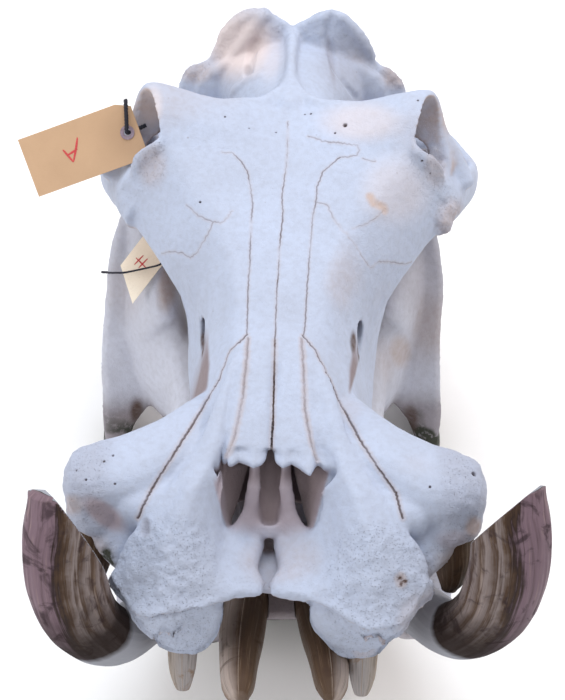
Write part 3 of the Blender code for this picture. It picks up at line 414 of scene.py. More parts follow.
def snout_pieces():
    """The two wings that hold the upper canines, the premaxillae, and the free tips of the nasal bones."""
    made = both(sweep, "canine_wing", [
        (44, 181, 274, 46, 40), (88, 145, 280, 36, 38), (120, 125, 281, 37, 35), (146, 117, 281, 36, 34),
        (163, 116, 280, 32, 31)], power=2.5, dome=(0.2, 0.6))
    made += both(sweep, "canine_socket", [
        (146, 116, 278, 30, 32), (150, 102, 262, 28, 30), (153, 96, 251, 25, 27)],
        up=(1, 0, 0), dome=(0.3, 0.15))
    made += both(sweep, "wing_web", [
        (82, 112, 279, 36, 24), (104, 106, 278, 36, 24), (124, 104, 276, 30, 24)], power=2.5)
    made += both(premaxilla, "premaxilla")
    made += both(sweep, "incisor_socket", [
        (82, 50, 256, 34, 22), (80, 34, 238, 38, 24), (74, 24, 218, 36, 20), (75, 16, 191, 22, 13)],
        up=(0, 1, 0), dome=(0.3, 0.3))
    made += both(sweep, "block_corner", [
        (47, 25, 238, 14, 11), (55, 20, 222, 18, 12), (66, 17, 206, 20, 12)],
        up=(0, 1, 0), dome=(0.3, 0.2))
    made += both(sweep, "socket_bridge", [
        (146, 112, 262, 24, 22), (132, 90, 249, 26, 24), (110, 73, 242, 26, 20)])
    made.append(sweep("snout_floor", [(-16, 70, 226, 24, 5), (16, 70, 226, 24, 5)], up=(0, 0, 1),
                      power=3.0))
    made += both(sweep, "nasal_bone", [
        (19, 109, 309, 17, 4), (20, 150, 321, 19, 6), (18, 200, 333, 17, 8), (14, 240, 341, 13, 8)],
        power=3.5, dome=(0.0, 0.5))
    return made


def nose_pieces():
    """Inside the nostrils: a leaning plate on each side and the trough of the vomer between them."""
    made = both(sweep, "nose_plate", [
        (26, 80, 240, 16, 8), (22, 90, 251, 15, 6), (15, 103, 268, 10, 4), (13.5, 115, 292, 5.5, 3.5),
        (13, 124, 316, 4, 3)], up=(0, 1, 0), dome=(0.2, 0.2))
    made += both(sweep, "nose_corner", [
        (45, 88, 246, 10, 10), (50, 100, 262, 8.5, 10), (55, 112, 282, 6.5, 9), (59, 123, 302, 4, 7)],
        up=(0, 1, 0), dome=(0.3, 0.3))
    made += both(blade, "nose_wall", [(54, 124, 304), (47, 110, 282), (41, 98, 262), (37, 91, 250)],
                 [(20, 142, 284), (27, 124, 267), (33, 108, 252), (35, 98, 244)], rim_half=3, root_half=3)
    made.append(sweep("vomer", [(0, 91, 250, 13, 7), (0, 106, 265, 13, 9), (0, 150, 295, 12, 10)],
                      dome=(0.5, 0.2)))
    return made


def nose_cutters():
    return [sweep("vomer_trough", [(0, 97, 261, 8.5, 7), (0, 110, 277, 9.5, 9), (0, 146, 307, 9, 9)],
                  dome=(0.6, 0.3)),
            sweep("under_ledge", [(-34, 31, 229, 16, 15), (0, 31, 229, 16, 15), (34, 31, 229, 16, 15)],
                  power=3.0, dome=(0.2, 0.2))]


print("premaxilla stations:", len(PREMAXILLA_STATIONS))

# %% [markdown]
# ## Eye sockets, cheek arches and braincase
# A hippo's eye sockets stand above the roof of the skull like periscopes, so each rim is a closed tube
# round a hollow. The cheek arches swing out behind them, and sharp crests run back over a small braincase.

# %% The back of the skull
ORBIT = [(122, 446, 404), (126, 466, 420), (132, 490, 427), (139, 500, 419), (142, 497, 405),
         (146, 487, 388), (152, 470, 368), (150, 454, 362), (137, 448, 386)]
ORBIT_AXIS = Vector((0.72, -0.51, 0.47))


def funnel(name, loop, axis, stations, side=1):
    """A hollow's shape: copies of a loop moved along an axis by a distance and resized about their middle."""
    smooth = smooth_line([loop[-1]] + loop + [loop[0], loop[1]],
                         (len(loop) + 2) * 3 + 1)[3:3 + 3 * len(loop)]
    points = [Vector(p) for p in smooth]
    middle = sum(points, Vector()) / len(points)
    rings = []
    for distance, size, shift in stations:
        centre = middle + axis * distance + Vector(shift)
        rings.append([mirror_sign(side, centre + (p - middle) * size) for p in points])
    return skin(name, rings)


def brow_pieces():
    """Rims of the eye sockets, the bars behind them, the cheek bones and the lines back to the crest."""
    made = both(sweep, "orbit_rim", [
        (121, 447, 401, 7, 6), (126, 467, 417, 6, 5), (132, 491, 425, 5, 5), (141, 502, 417, 5, 6),
        (146, 498, 402, 6, 6), (150, 489, 383, 7, 7), (156, 471, 360, 8, 8), (150, 452, 353, 7, 7),
        (138, 449, 380, 8, 7)], closed_path=True, up=(0.72, -0.51, 0.47), around=12)
    made += both(sweep, "tear_bump", [
        (121, 444, 401, 7, 6), (130, 444, 394, 10, 9), (141, 444, 381, 9, 9), (148, 444, 366, 7, 6)])
    made += both(sweep, "orbit_bar", [
        (172, 468, 338, 10, 16), (162, 483, 358, 8, 14), (150, 494, 382, 7, 10), (144, 500, 400, 6, 9),
        (139, 506, 413, 6, 9)], up=(1, 0, 0.2))
    made += both(sweep, "cheek_process", [(163, 480, 356, 8, 10), (156, 488, 376, 6, 7)], up=(1, 0, 0.2),
                 dome=(0.4, 0.9))
    made += both(sweep, "cheek_arch", [
        (148, 422, 326, 12, 16), (162, 450, 327, 10, 22), (176, 486, 316, 9, 24), (187, 520, 301, 9, 22),
        (189, 552, 289, 10, 18), (180, 582, 285, 11, 15), (162, 604, 290, 15, 13), (134, 612, 299, 20, 13)],
        dome=(0.4, 0.4))
    made += both(blade, "temple_line", [
        (0, 572, 402), (12, 540, 405), (31, 521, 405), (58, 514, 406), (82, 508, 411), (112, 505, 421),
        (136, 502, 428)], [(0, 548, 370), (10, 520, 380), (29, 500, 384), (54, 494, 386), (78, 488, 390),
        (106, 484, 402), (130, 482, 412)], rim_half=4, root_half=10)
    return made


def braincase_pieces():
    """The small braincase, its crests, the back of the skull, and the base with its joints."""
    made = [sweep("braincase", [
        (0, 470, 338, 64, 52), (0, 510, 342, 52, 52), (0, 555, 340, 54, 54), (0, 605, 336, 68, 54),
        (0, 640, 332, 84, 52)], around=28, dome=(0.2, 0.3))]
    made.append(sweep("middle_crest", [
        (0, 512, 391, 14, 14), (0, 541, 393, 10, 14), (0, 575, 389, 7, 15), (0, 615, 385, 7, 15),
        (0, 662, 380, 10, 16)], dome=(0.3, 0.2)))
    made += both(blade, "back_crest", [
        (0, 664, 396), (14, 664, 406), (30, 664, 415), (48, 664, 416), (65, 664, 404), (79, 663, 386),
        (87, 662, 365), (93, 660, 354), (108, 657, 348), (120, 654, 337), (126, 651, 318), (124, 648, 298)],
        [(0, 640, 350), (11, 640, 352), (22, 640, 354), (34, 640, 352), (44, 639, 346), (52, 638, 338),
         (58, 636, 328), (64, 633, 318), (70, 630, 310), (78, 627, 300), (84, 624, 290), (90, 622, 282)],
        rim_half=7, root_half=13, bow=-4)
    made.append(ball("occiput", (0, 642, 322), (108, 24, 56)))
    made += both(ball, "neck_joint", (36, 672, 282), (24, 24, 25), turn=(0, 12, 24))
    made += both(sweep, "neck_process", [
        (84, 646, 300, 16, 20), (86, 652, 268, 9, 15), (84, 656, 238, 5, 8)], up=(0, 1, 0))
    made += both(sweep, "jaw_root", [
        (60, 598, 304, 34, 26), (110, 604, 304, 28, 17), (158, 604, 300, 22, 12)], dome=(0.3, 0.3))
    made.append(sweep("skull_base", [
        (0, 440, 262, 30, 16), (0, 500, 284, 32, 24), (0, 570, 284, 30, 20), (0, 660, 274, 30, 14)],
        dome=(0.4, 0.3)))
    made += both(ball, "ear_bulb", (48, 600, 268), (17, 26, 20))
    made += both(blade, "wing_plate", [(33, 446, 232), (36, 472, 228), (36, 500, 234), (34, 530, 262)],
                 [(30, 446, 262), (33, 476, 272), (33, 508, 280), (30, 540, 286)],
                 rim_half=3.5, root_half=7)
    return made


print("the eye socket's rim has", len(ORBIT), "knots")

# %% [markdown]
# ## Hollows
# What is cut away matters as much as what is added: the nostril chamber, the sockets of the eyes, the canal
# under each eye that opens on the cheek, and the hole for the spine.

# %% Cutters for the cranium
def cranium_cutters():
    """Nostril chamber, eye sockets, the way behind them, and smaller holes."""
    made = [sweep("nose_chamber", [
        (0, 100, 280, 46, 33), (0, 115, 275, 54, 38), (0, 150, 282, 45, 34), (0, 200, 292, 30, 22),
        (0, 240, 304, 18, 12)], around=28, power=2.5, dome=(0.5, 0.5))]
    made += both(funnel, "eye_socket", ORBIT, ORBIT_AXIS, [
        (60, 1.5, (0, 0, 0)), (12, 1.06, (0, 0, 0)), (0, 0.97, (0, 0, 0)), (-12, 0.88, (0, -3, 0)),
        (-24, 0.74, (-2, -9, -3)), (-36, 0.54, (-4, -17, -6))])
    made += both(sweep, "behind_eye", [
        (112, 456, 366, 18, 14), (114, 480, 364, 28, 17), (116, 510, 358, 32, 20), (116, 560, 346, 34, 26)],
        around=20, dome=(0.4, 0.2))
    made += both(sweep, "face_canal", [(86, 284, 282, 9, 12), (74, 298, 288, 9, 13), (58, 324, 300, 6, 9)])
    made.append(sweep("throat", [
        (0, 540, 262, 24, 12), (0, 500, 256, 22, 14), (0, 462, 252, 20, 12), (0, 440, 252, 12, 6)]))
    made.append(sweep("spine_hole", [(0, 720, 300, 22, 20), (0, 680, 302, 19, 18), (0, 640, 310, 16, 15)]))
    made += both(sweep, "jaw_hollow", [
        (104, 606, 279, 16, 8), (150, 604, 275, 22, 11), (200, 600, 268, 24, 13)], dome=(0.5, 0.5))
    made += both(sweep, "jaw_window", [
        (120, 478, 226, 54, 28), (122, 494, 290, 40, 27), (124, 506, 338, 32, 25),
        (127, 512, 366, 24, 21), (130, 514, 384, 16, 16)], up=(1, 0, 0), dome=(0.2, 0.5))
    return made


print("the eye sockets open along", [round(v, 2) for v in ORBIT_AXIS])

# %% [markdown]
# ## The lower jaw
# The jaw is modelled straight, in its own lengths, and set a little askew under the skull as it really
# lies. Its chin is a broad block for the tusks, and its back corners hang down in hooks that touch the
# floor.

# %% The lower jaw's pieces
CHIN_STATIONS = (84, 92, 102, 114, 128, 145, 165, 188, 212, 236, 258)
CHIN_WIDTH = guide((84, 96), (96, 126), (114, 134), (140, 118), (170, 94), (212, 76), (258, 60))
CHIN_TOP = guide((84, 144), (100, 150), (150, 150), (200, 146), (258, 140))
CHIN_FOOT = guide((84, 136), (92, 130), (114, 98), (140, 54), (165, 22), (188, 4), (205, -4), (222, -4),
                  (240, 8), (258, 36))


def chin_ring(s, around=36, power=3.2):
    """A flat, wide oval across the chin."""
    wide, middle = CHIN_WIDTH(s), (CHIN_TOP(s) + CHIN_FOOT(s)) / 2
    high = CHIN_TOP(s) - middle
    ring = []
    for k in range(around):
        angle = 2 * math.pi * k / around
        c, n = math.cos(angle), math.sin(angle)
        ring.append(Vector((wide * math.copysign(abs(c) ** (2 / power), c), s,
                            middle + high * math.copysign(abs(n) ** (2 / power), n))))
    return ring


def jaw_pieces():
    made = [skin("chin", [chin_ring(s) for s in CHIN_STATIONS])]
    made += both(sweep, "tusk_bulge", [
        (80, 196, 92, 30, 46), (92, 162, 108, 38, 44), (104, 126, 128, 42, 43), (119, 99, 150, 40, 44)],
        dome=(0.4, 0.15))
    made += both(sweep, "jaw_body", [
        (58, 130, 96, 40, 62), (70, 180, 98, 32, 62), (76, 230, 104, 26, 56), (80, 300, 112, 25, 54),
        (86, 360, 122, 27, 58), (96, 412, 132, 30, 66)], power=2.6, dome=(0.3, 0.3))
    made += both(sweep, "jaw_branch", [
        (98, 392, 121, 27, 64), (119, 430, 134, 30, 86), (131, 470, 158, 33, 100), (146, 520, 164, 20, 110),
        (152, 570, 160, 15, 106), (156, 612, 168, 12, 84), (157, 636, 176, 7, 44)], around=24)
    made += both(blade, "jaw_rim", [
        (164, 516, 258), (175, 478, 236), (181, 442, 178), (184, 412, 108), (185, 398, 56), (181, 395, 14),
        (181, 432, -2), (181, 480, 2), (179, 536, 26), (176, 592, 68), (170, 628, 122), (165, 636, 176),
        (157, 628, 226), (149, 617, 256)],
        [(135, 512, 240), (128, 474, 210), (124, 440, 160), (126, 424, 112), (140, 420, 82), (150, 432, 66),
         (150, 452, 62), (152, 492, 68), (154, 532, 82), (155, 575, 102), (156, 600, 134), (156, 606, 176),
         (154, 600, 218), (149, 596, 246)], rim_half=5.5, root_half=15)
    made += both(sweep, "jaw_hook", [
        (150, 456, 84, 17, 20), (162, 430, 58, 17, 20), (171, 412, 36, 15, 18), (176, 404, 12, 12, 15)],
        up=(0, 1, 0.5), dome=(0.4, 0.9))
    for side, lean in ((1, 8), (-1, -6)):
        made.append(sweep("jaw_blade", [
            (122, 474, 226, 40, 13), (122 + lean * 0.3, 494, 290, 28, 10),
            (126 + lean * 0.7, 508, 338, 19, 8), (130 + lean, 516, 366, 12, 6)], side=side, up=(1, 0, 0),
            dome=(0.2, 0.8)))
    made += both(sweep, "joint_neck", [
        (152, 586, 190, 34, 13), (150, 600, 240, 24, 13), (148, 606, 262, 16, 15)], up=(1, 0, 0))
    made += both(ball, "jaw_joint", (146, 607, 268), (33, 14, 13), turn=(0, -6, 0))
    return made


def bend_jaw(mesh):
    """The lower back of the jaw leans a little to the left of its joints."""
    for vert in mesh.vertices:
        s, z = vert.co.y / MM, vert.co.z / MM
        back = min(max((s - LEAN_FROM_S) / LEAN_OVER_S, 0), 1)
        low = min(max((LEAN_FROM_Z - z) / LEAN_OVER_Z, 0), 1)
        vert.co.x -= JAW_LEAN * MM * back * back * (3 - 2 * back) * low * low * (3 - 2 * low)


JAW_LEAN = 5.0
LEAN_FROM_S, LEAN_OVER_S = 330.0, 90.0
LEAN_FROM_Z, LEAN_OVER_Z = 215.0, 70.0


def jaw_cutters():
    """The trough between the two halves, behind the chin."""
    return [sweep("tongue_trough", [
        (0, 84, 172, 60, 20), (0, 120, 168, 48, 24), (0, 180, 156, 40, 34), (0, 240, 140, 42, 60)],
        around=24, dome=(0.3, 0.3))]


def floor_block(name):
    """A block below the floor level, which leaves true flats where the jaw stands."""
    bm = bmesh.new()
    bmesh.ops.create_cube(bm, size=1.0)
    bm.transform(Matrix.Translation(Vector((0, 0.3, -0.05))) @ Matrix.Diagonal((1.0, 1.2, 0.1, 1)))
    return bpy.data.objects.new(name, mesh_of(name, bm))


print("chin stations:", len(CHIN_STATIONS))

# %% [markdown]
# ## Big teeth as curved columns
# Tusks and incisors are ovals swept along a curve, so one function makes them all. Each also leaves two
# numbers on its points, how far along it they lie and where round it, because ivory is striped along its
# length and a finish can only follow those stripes if the mesh remembers them.

# %% Tooth shapes
TUSK = [(92, 150, 126, 27, 22), (106, 116, 136, 29, 23), (124, 80, 150, 30, 24), (149, 42, 174, 31, 24),
        (171, 25, 222, 32, 24), (181, 28, 268, 33, 24), (182, 40, 306, 33, 23), (178, 52, 332, 32, 22),
        (177, 59, 349, 30, 20)]
TUSK_FACETS = {1: (((160, 34, 325), (-0.60, 0.70, 0.39)), ((194, 53, 349), (-0.20, 0.92, 0.34))),
               -1: (((166, 33, 330), (-0.75, 0.62, 0.23)), ((194, 56, 354), (-0.20, 0.92, 0.34)))}
UPPER_CANINE = [(146, 122, 288, 18, 18), (151, 102, 258, 19, 20), (155, 89, 232, 18, 18),
                (156, 83, 212, 13, 13), (155, 80, 200, 8, 8)]
UPPER_INCISOR = [(74, 43, 232, 15, 18), (75.5, 29, 205, 14, 16.5), (77, 18, 184, 12, 13),
                 (77.5, 9, 163, 9.5, 11), (77.5, 4, 147, 6, 7)]
LOWER_INCISOR_INNER = [(27, 132, 132, 19, 19), (32, 95, 142, 20, 20), (36, 55, 156, 20, 20),
                       (38.5, 18, 171, 17, 17), (39.5, -14, 182, 14, 14), (39, -31, 187, 8, 8)]
LOWER_INCISOR_OUTER = [(59, 128, 132, 8, 8), (63, 98, 142, 10.5, 11), (66, 76, 150, 10, 10),
                       (68, 66, 154, 6, 6)]
BIG_TEETH = (
    ("lower_canine", TUSK, (0, 1, 0), "jaw", 0),
    ("lower_incisor_inner", LOWER_INCISOR_INNER, (1, 0, 0), "jaw", -3),
    ("lower_incisor_outer", LOWER_INCISOR_OUTER, (1, 0, 0), "jaw", -3),
    ("upper_canine", UPPER_CANINE, (1, 0, 0), "cranium", 0),
    ("upper_incisor", UPPER_INCISOR, (1, 0, 0), "cranium", 2),
)
SIDES = ((1, "right"), (-1, "left"))


def swollen(knots, extra):
    """The same column, wider all round and longer at both ends, which cuts its socket."""
    grown = [(x, s, z, wide + extra, high + extra) for x, s, z, wide, high in knots]
    for end, inner in ((0, 1), (-1, -2)):
        tip, near = Vector(knots[end][:3]), Vector(knots[inner][:3])
        grown[end] = (*(tip + (tip - near).normalized() * extra), *grown[end][3:])
    return grown


def shifted(knots, side, shift):
    """The same column moved sideways, since the incisors do not stand evenly about the middle."""
    return [(x + side * shift, *rest) for x, *rest in knots]


def end_dome(name):
    """The tusks end more bluntly than the other teeth."""
    return (0.2, 0.35) if name.startswith("lower_canine") else (0.2, 0.8)


def socket(name, knots, side, up):
    return sweep(name, swollen(knots, GAP + 0.2), side=side, up=up, power=2.3, around=56, steps=8,
                 dome=end_dome(name))


print("big teeth:", 2 * len(BIG_TEETH))

# %% [markdown]
# ## Joining pieces into bone
# Overlapping skins must become one smooth bone. A Boolean union leaves hard creases where tubes meet, so
# the pieces are remeshed together on a grid of two-millimetre cells instead and relaxed, which fills each
# crease with a fillet as growing bone does. Cutters come after that, so that the rims of holes stay crisp,
# and a second remesh evens them.

# %% Fuse, cut and keep
VOXEL = 1.9


def settle(obj):
    """Turns an object's modifiers into its own mesh."""
    bpy.context.view_layer.update()
    mesh = bpy.data.meshes.new_from_object(obj.evaluated_get(bpy.context.evaluated_depsgraph_get()))
    obj.modifiers.clear()
    obj.data = mesh


def combine(obj, pieces, operation, solver="MANIFOLD"):
    """Joins pieces to obj, or cuts them from it, with one Boolean, and removes them."""
    helpers = bpy.data.collections.new("helpers")
    bpy.context.scene.collection.children.link(helpers)
    for piece in pieces:
        helpers.objects.link(piece)
    cut = obj.modifiers.new(operation.title(), "BOOLEAN")
    cut.operand_type = "COLLECTION"
    cut.collection = helpers
    cut.operation = operation
    cut.solver = solver
    settle(obj)
    for piece in pieces:
        bpy.data.objects.remove(piece, do_unlink=True)
    bpy.data.collections.remove(helpers)


def fuse(name, pieces, rounds):
    """One closed skin over overlapping pieces: joined as they are, remeshed on a fine grid, and relaxed."""
    bm = bmesh.new()
    for piece in pieces:
        bm.from_mesh(piece.data)
        bpy.data.objects.remove(piece, do_unlink=True)
    obj = linked(name, mesh_of(name, bm))
    grid = obj.modifiers.new("Grid", "REMESH")
    grid.mode = "VOXEL"
    grid.voxel_size = VOXEL * MM
    relax = obj.modifiers.new("Relax", "SMOOTH")
    relax.factor = 0.5
    relax.iterations = rounds
    settle(obj)
    return obj


def sockets_of(host):
    return [socket(f"{name}_{tag}", shifted(knots, side, shift), side, up)
            for name, knots, up, where, shift in BIG_TEETH if where == host for side, tag in SIDES]


def keep_largest(obj):
    """Drops scraps and sealed hollows: joined faces share a label, and the commonest label stays."""
    mesh = obj.data
    ends = np.empty(len(mesh.edges) * 2, np.int32)
    mesh.edges.foreach_get("vertices", ends)
    a, b = ends.reshape(-1, 2).T
    label = np.arange(len(mesh.vertices))
    while True:
        low = np.minimum(label[a], label[b])
        new = label.copy()
        np.minimum.at(new, a, low)
        np.minimum.at(new, b, low)
        new = new[new]
        if (new == label).all():
            break
        label = new
    bm = bmesh.new()
    bm.from_mesh(mesh)
    kept = np.bincount(label).argmax()
    bmesh.ops.delete(bm, geom=[v for v, mark in zip(bm.verts, label) if mark != kept], context="VERTS")
    bm.to_mesh(mesh)
    bm.free()


# %% The cranium and the lower jaw, still bare
cranium = fuse("cranium_bone", [face()] + snout_pieces() + brow_pieces() + braincase_pieces(), 3)
combine(cranium, cranium_cutters(), "DIFFERENCE")
combine(cranium, nose_pieces(), "UNION")
combine(cranium, nose_cutters(), "DIFFERENCE")
cranium = fuse("cranium_bone", [cranium], 5)
combine(cranium, sockets_of("cranium"), "DIFFERENCE")
keep_largest(cranium)

jaw = fuse("jaw_bone", jaw_pieces(), 3)
combine(jaw, jaw_cutters(), "DIFFERENCE")
jaw = fuse("jaw_bone", [jaw], 5)
bend_jaw(jaw.data)
combine(jaw, sockets_of("jaw") + [floor_block("floor_block")], "DIFFERENCE")
keep_largest(jaw)
print("faces:", len(cranium.data.polygons), "and", len(jaw.data.polygons))

# %% [markdown]
# ## Working the bone like clay
# Weathered bone is never smooth: seams wander over it, small holes let vessels through, and muscle scars
# are rough. A texture can only pretend such relief, so it is pressed into the mesh. A few brushes do all of
# it: each finds the points near a path, moves them along their normals, and leaves a mark there that the
# finish later reads as dirt, stain, porous bone, painted shade or painted sunlight. Sculpt mode would do the
# same by hand, but code gives the same bone on every run.

# %% Noise and brushes
# Some marks paint light and shade into the colour rather than the bone's own tint: one paints patches of
# sunlight, one paints shade, and the mauve, dark brown and tan marks carry painted shade as well as real
# tint, dirt and stain.
MARKS = ("grime", "stain", "porous", "shade", "moss", "rosy", "cream")
# The noise scrambles whole numbers: a large prime for each axis, then shifts and factors that mix the bits.
CELL_PRIMES = (73856093, 19349663, 83492791)
BIT_MIXES = ((13, 1274126177), (15, 668265263))
LARGEST = 0x7FFFFFFF


def lumps(points, size, seed=0):
    """Smooth noise from -1 to 1 with lumps about `size` millimetres across."""
    place = points / size
    cell = np.floor(place).astype(np.int64)
    part = place - cell
    part = part * part * (3 - 2 * part)
    total = np.zeros(len(points))
    for corner in np.ndindex(2, 2, 2):
        key = (cell + corner) * np.array(CELL_PRIMES)
        mixed = key[:, 0] ^ key[:, 1] ^ key[:, 2] ^ (seed * 7919 + 17)
        for shift, factor in BIT_MIXES:
            mixed = ((mixed ^ (mixed >> shift)) * factor) & LARGEST
        weight = np.where(corner, part, 1 - part).prod(axis=1)
        total += weight * (mixed / (LARGEST // 2) - 1)
    return total


def rough(points, size, octaves=3, seed=0):
    """Noise with finer and weaker layers on top of each other."""
    return sum(lumps(points, size / 2 ** k, seed + k) * 0.55 ** k for k in range(octaves))


def within(value, low, high):
    """0 below low, 1 above high, and a smooth rise between; high may be the smaller one."""
    t = np.clip((value - low) / (high - low), 0, 1)
    return t * t * (3 - 2 * t)


class Clay:
    """A bone's points and normals as arrays in millimetres, with one array for each mark."""

    def __init__(self, obj):
        self.obj = obj
        self.points = self.read(obj.data.vertices, "co") / MM
        self.normals = self.read(obj.data.vertex_normals, "vector")
        self.side = np.abs(self.points[:, 0])
        self.marks = {name: np.zeros(len(self.points)) for name in MARKS}

    @staticmethod
    def read(items, what):
        values = np.empty(len(items) * 3, np.float32)
        items.foreach_get(what, values)
        return values.reshape(-1, 3).astype(float)

    def near(self, path, reach):
        """The points within reach of a path, and how far each is from it."""
        path = np.array([tuple(p) for p in path], float)
        inside = ((self.points > path.min(0) - reach) & (self.points < path.max(0) + reach)).all(1)
        chosen = np.nonzero(inside)[0]
        points = self.points[chosen]
        best = np.full(len(chosen), reach * 2.0)
        ends = path[1:] if len(path) > 1 else path
        for a, b in zip(path, ends):
            ab = b - a
            share = np.clip((points - a) @ ab / max(ab @ ab, 1e-9), 0, 1)
            best = np.minimum(best, np.linalg.norm(points - a - share[:, None] * ab, axis=1))
        close = best < reach
        return chosen[close], best[close]

    def zone(self, limits, strength=1.0):
        """A mask over a stretch of the bone, from (axis, where it begins, where it is full) limits."""
        x, s, z = self.points.T
        lengths = {"x": x, "side": self.side, "s": s, "z": z}
        mask = strength
        for axis, begins, full in limits:
            mask = mask * within(lengths[axis], begins, full)
        return mask

    def press(self, path, width, depth, **marks):
        """Presses a groove along a path, or raises a ridge where depth is negative.

        Each mark is given as how far it reaches and how strong it is."""
        chosen, off = self.near(path, max([width] + [reach for reach, _ in marks.values()]))
        fall = np.clip(1 - (off / width) ** 2, 0, 1) ** 2
        self.points[chosen] -= self.normals[chosen] * (fall * depth)[:, None]
        for name, (reach, amount) in marks.items():
            fade = amount * np.clip(1 - (off / reach) ** 2, 0, 1)
            self.marks[name][chosen] = np.maximum(self.marks[name][chosen], fade)

    def roughen(self, size, depth, where=1.0, octaves=3, seed=0):
        """Moves the surface in and out by noise, where a mask allows it."""
        self.points += self.normals * (rough(self.points, size, octaves, seed) * depth * where)[:, None]

    def relax(self, where, rounds):
        """Draws points towards the middle of their neighbours, which melts steps and ragged edges away."""
        ends = np.empty(len(self.obj.data.edges) * 2, np.int32)
        self.obj.data.edges.foreach_get("vertices", ends)
        a, b = ends.reshape(-1, 2).T
        count = len(self.points)
        shared = np.bincount(a, minlength=count) + np.bincount(b, minlength=count)
        for _ in range(rounds):
            sums = [np.bincount(a, self.points[b, k], count) + np.bincount(b, self.points[a, k], count)
                    for k in range(3)]
            middle = np.stack(sums, axis=1) / shared[:, None]
            self.points += (middle - self.points) * 0.5 * where[:, None]

    def mark(self, name, amount):
        self.marks[name] = np.maximum(self.marks[name], amount)

    def look(self, back=Matrix()):
        """Notes the pixel each point lies behind, and how squarely it faces the camera."""
        turn = np.array(back.to_3x3().transposed())
        away = self.points @ turn + np.array(back.translation) / MM - np.array(EYE)
        across, over, deep = (away @ np.array(axis) for axis in (RIGHT, ABOVE, AHEAD))
        self.u = PICTURE[0] / 2 + LENS_PIXELS * across / deep
        self.v = PICTURE[1] / 2 - LENS_PIXELS * over / deep
        turned = self.normals @ turn
        self.facing = within(-(turned * away).sum(1) / np.linalg.norm(away, axis=1), 0.02, 0.2)

    def spot(self, u, v, wide, high, lean=0.0):
        """A soft oval as seen from the camera, 1 in its middle; lean turns it in degrees."""
        c, n = math.cos(math.radians(lean)), math.sin(math.radians(lean))
        a = ((self.u - u) * c + (self.v - v) * n) / wide
        b = ((self.v - v) * c - (self.u - u) * n) / high
        return within(np.hypot(a, b), 1.0, 0.35) * self.facing

    def spots(self, ovals):
        """Several soft ovals together, each with its strength first."""
        return sum(strength * self.spot(*oval) for strength, *oval in ovals)

    def write(self):
        self.obj.data.vertices.foreach_set("co", (self.points * MM).astype(np.float32).ravel())
        self.obj.data.update()

    def settle(self, place):
        """Writes the points and marks back to the mesh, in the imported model's frame."""
        self.write()
        mesh = self.obj.data
        for name, values in self.marks.items():
            layer = mesh.attributes.new(name, "FLOAT", "POINT")
            layer.data.foreach_set("value", np.clip(values, 0, 1).astype(np.float32))
        mesh.transform(place)
        mesh.shade_smooth()
        mesh.update()


print("marks on every point:", MARKS)

# %% [markdown]
# ## Finding a place on the bone from the picture
# Seams and small holes are easiest to point at in the picture. A ray from the camera through that pixel
# meets the bone at the true place, so each mark sits on the surface and looks right from every side. A seam
# drawn straight from point to point looks ruled, so each path is also broken into short steps that stray a
# little to either side, as the interlocking edges of two bones do.

# %% Rays and wandering paths
RAY_LENGTH = 5000
PATH_STEP = 1.6
LONGEST_JUMP = 14


def surface_of(obj):
    return BVHTree.FromPolygons([v.co / MM for v in obj.data.vertices],
                                [p.vertices for p in obj.data.polygons])


def seen(tree, u, v):
    """The first point of the bone behind a pixel, in the bone's own millimetres."""
    return tree.ray_cast(EYE, sight_line(u, v), RAY_LENGTH)[0]


def path_on(tree, pixels, stray=0.0, seed=1):
    """A path over the bone through pixels, in short steps that stray sideways."""
    generator = np.random.default_rng(seed)
    path = []
    for (u0, v0), (u1, v1) in zip(pixels, pixels[1:]):
        count = max(int(math.hypot(u1 - u0, v1 - v0) / PATH_STEP), 1)
        for k in range(count):
            sideways = Vector((v0 - v1, u1 - u0)).normalized() * stray * generator.uniform(-1, 1)
            found = seen(tree, u0 + (u1 - u0) * k / count + sideways[0],
                         v0 + (v1 - v0) * k / count + sideways[1])
            if found is not None and (not path or (found - path[-1]).length < LONGEST_JUMP):
                path.append(found)
    return path


def refine(obj, paths, reach):
    """Halves the edges near some paths, so that a thin groove has points to sink."""
    clay = Clay(obj)
    close = np.zeros(len(clay.points), bool)
    for path in paths:
        close[clay.near(path, reach)[0]] = True
    bm = bmesh.new()
    bm.from_mesh(obj.data)
    edges = [e for e in bm.edges if close[e.verts[0].index] and close[e.verts[1].index]]
    bmesh.ops.subdivide_edges(bm, edges=edges, cuts=1, use_grid_fill=True)
    bm.to_mesh(obj.data)
    bm.free()
    return len(edges)


cranium_tree = surface_of(cranium)
centre = seen(cranium_tree, PICTURE[0] // 2, PICTURE[1] // 2)
print("the middle of the picture meets the bone at", [round(v) for v in centre], "mm")

# %% [markdown]
# ## Seams of the face
# A skull is many bones knit together, and on this one the seams show as fine brown lines: one down the
# middle, one along each side of the long nasal bones, and others round the tear bones and between the two
# bones of the snout. The widest, along the premaxillae, are open cracks. Each seam is a list of picture
# points with its own width.

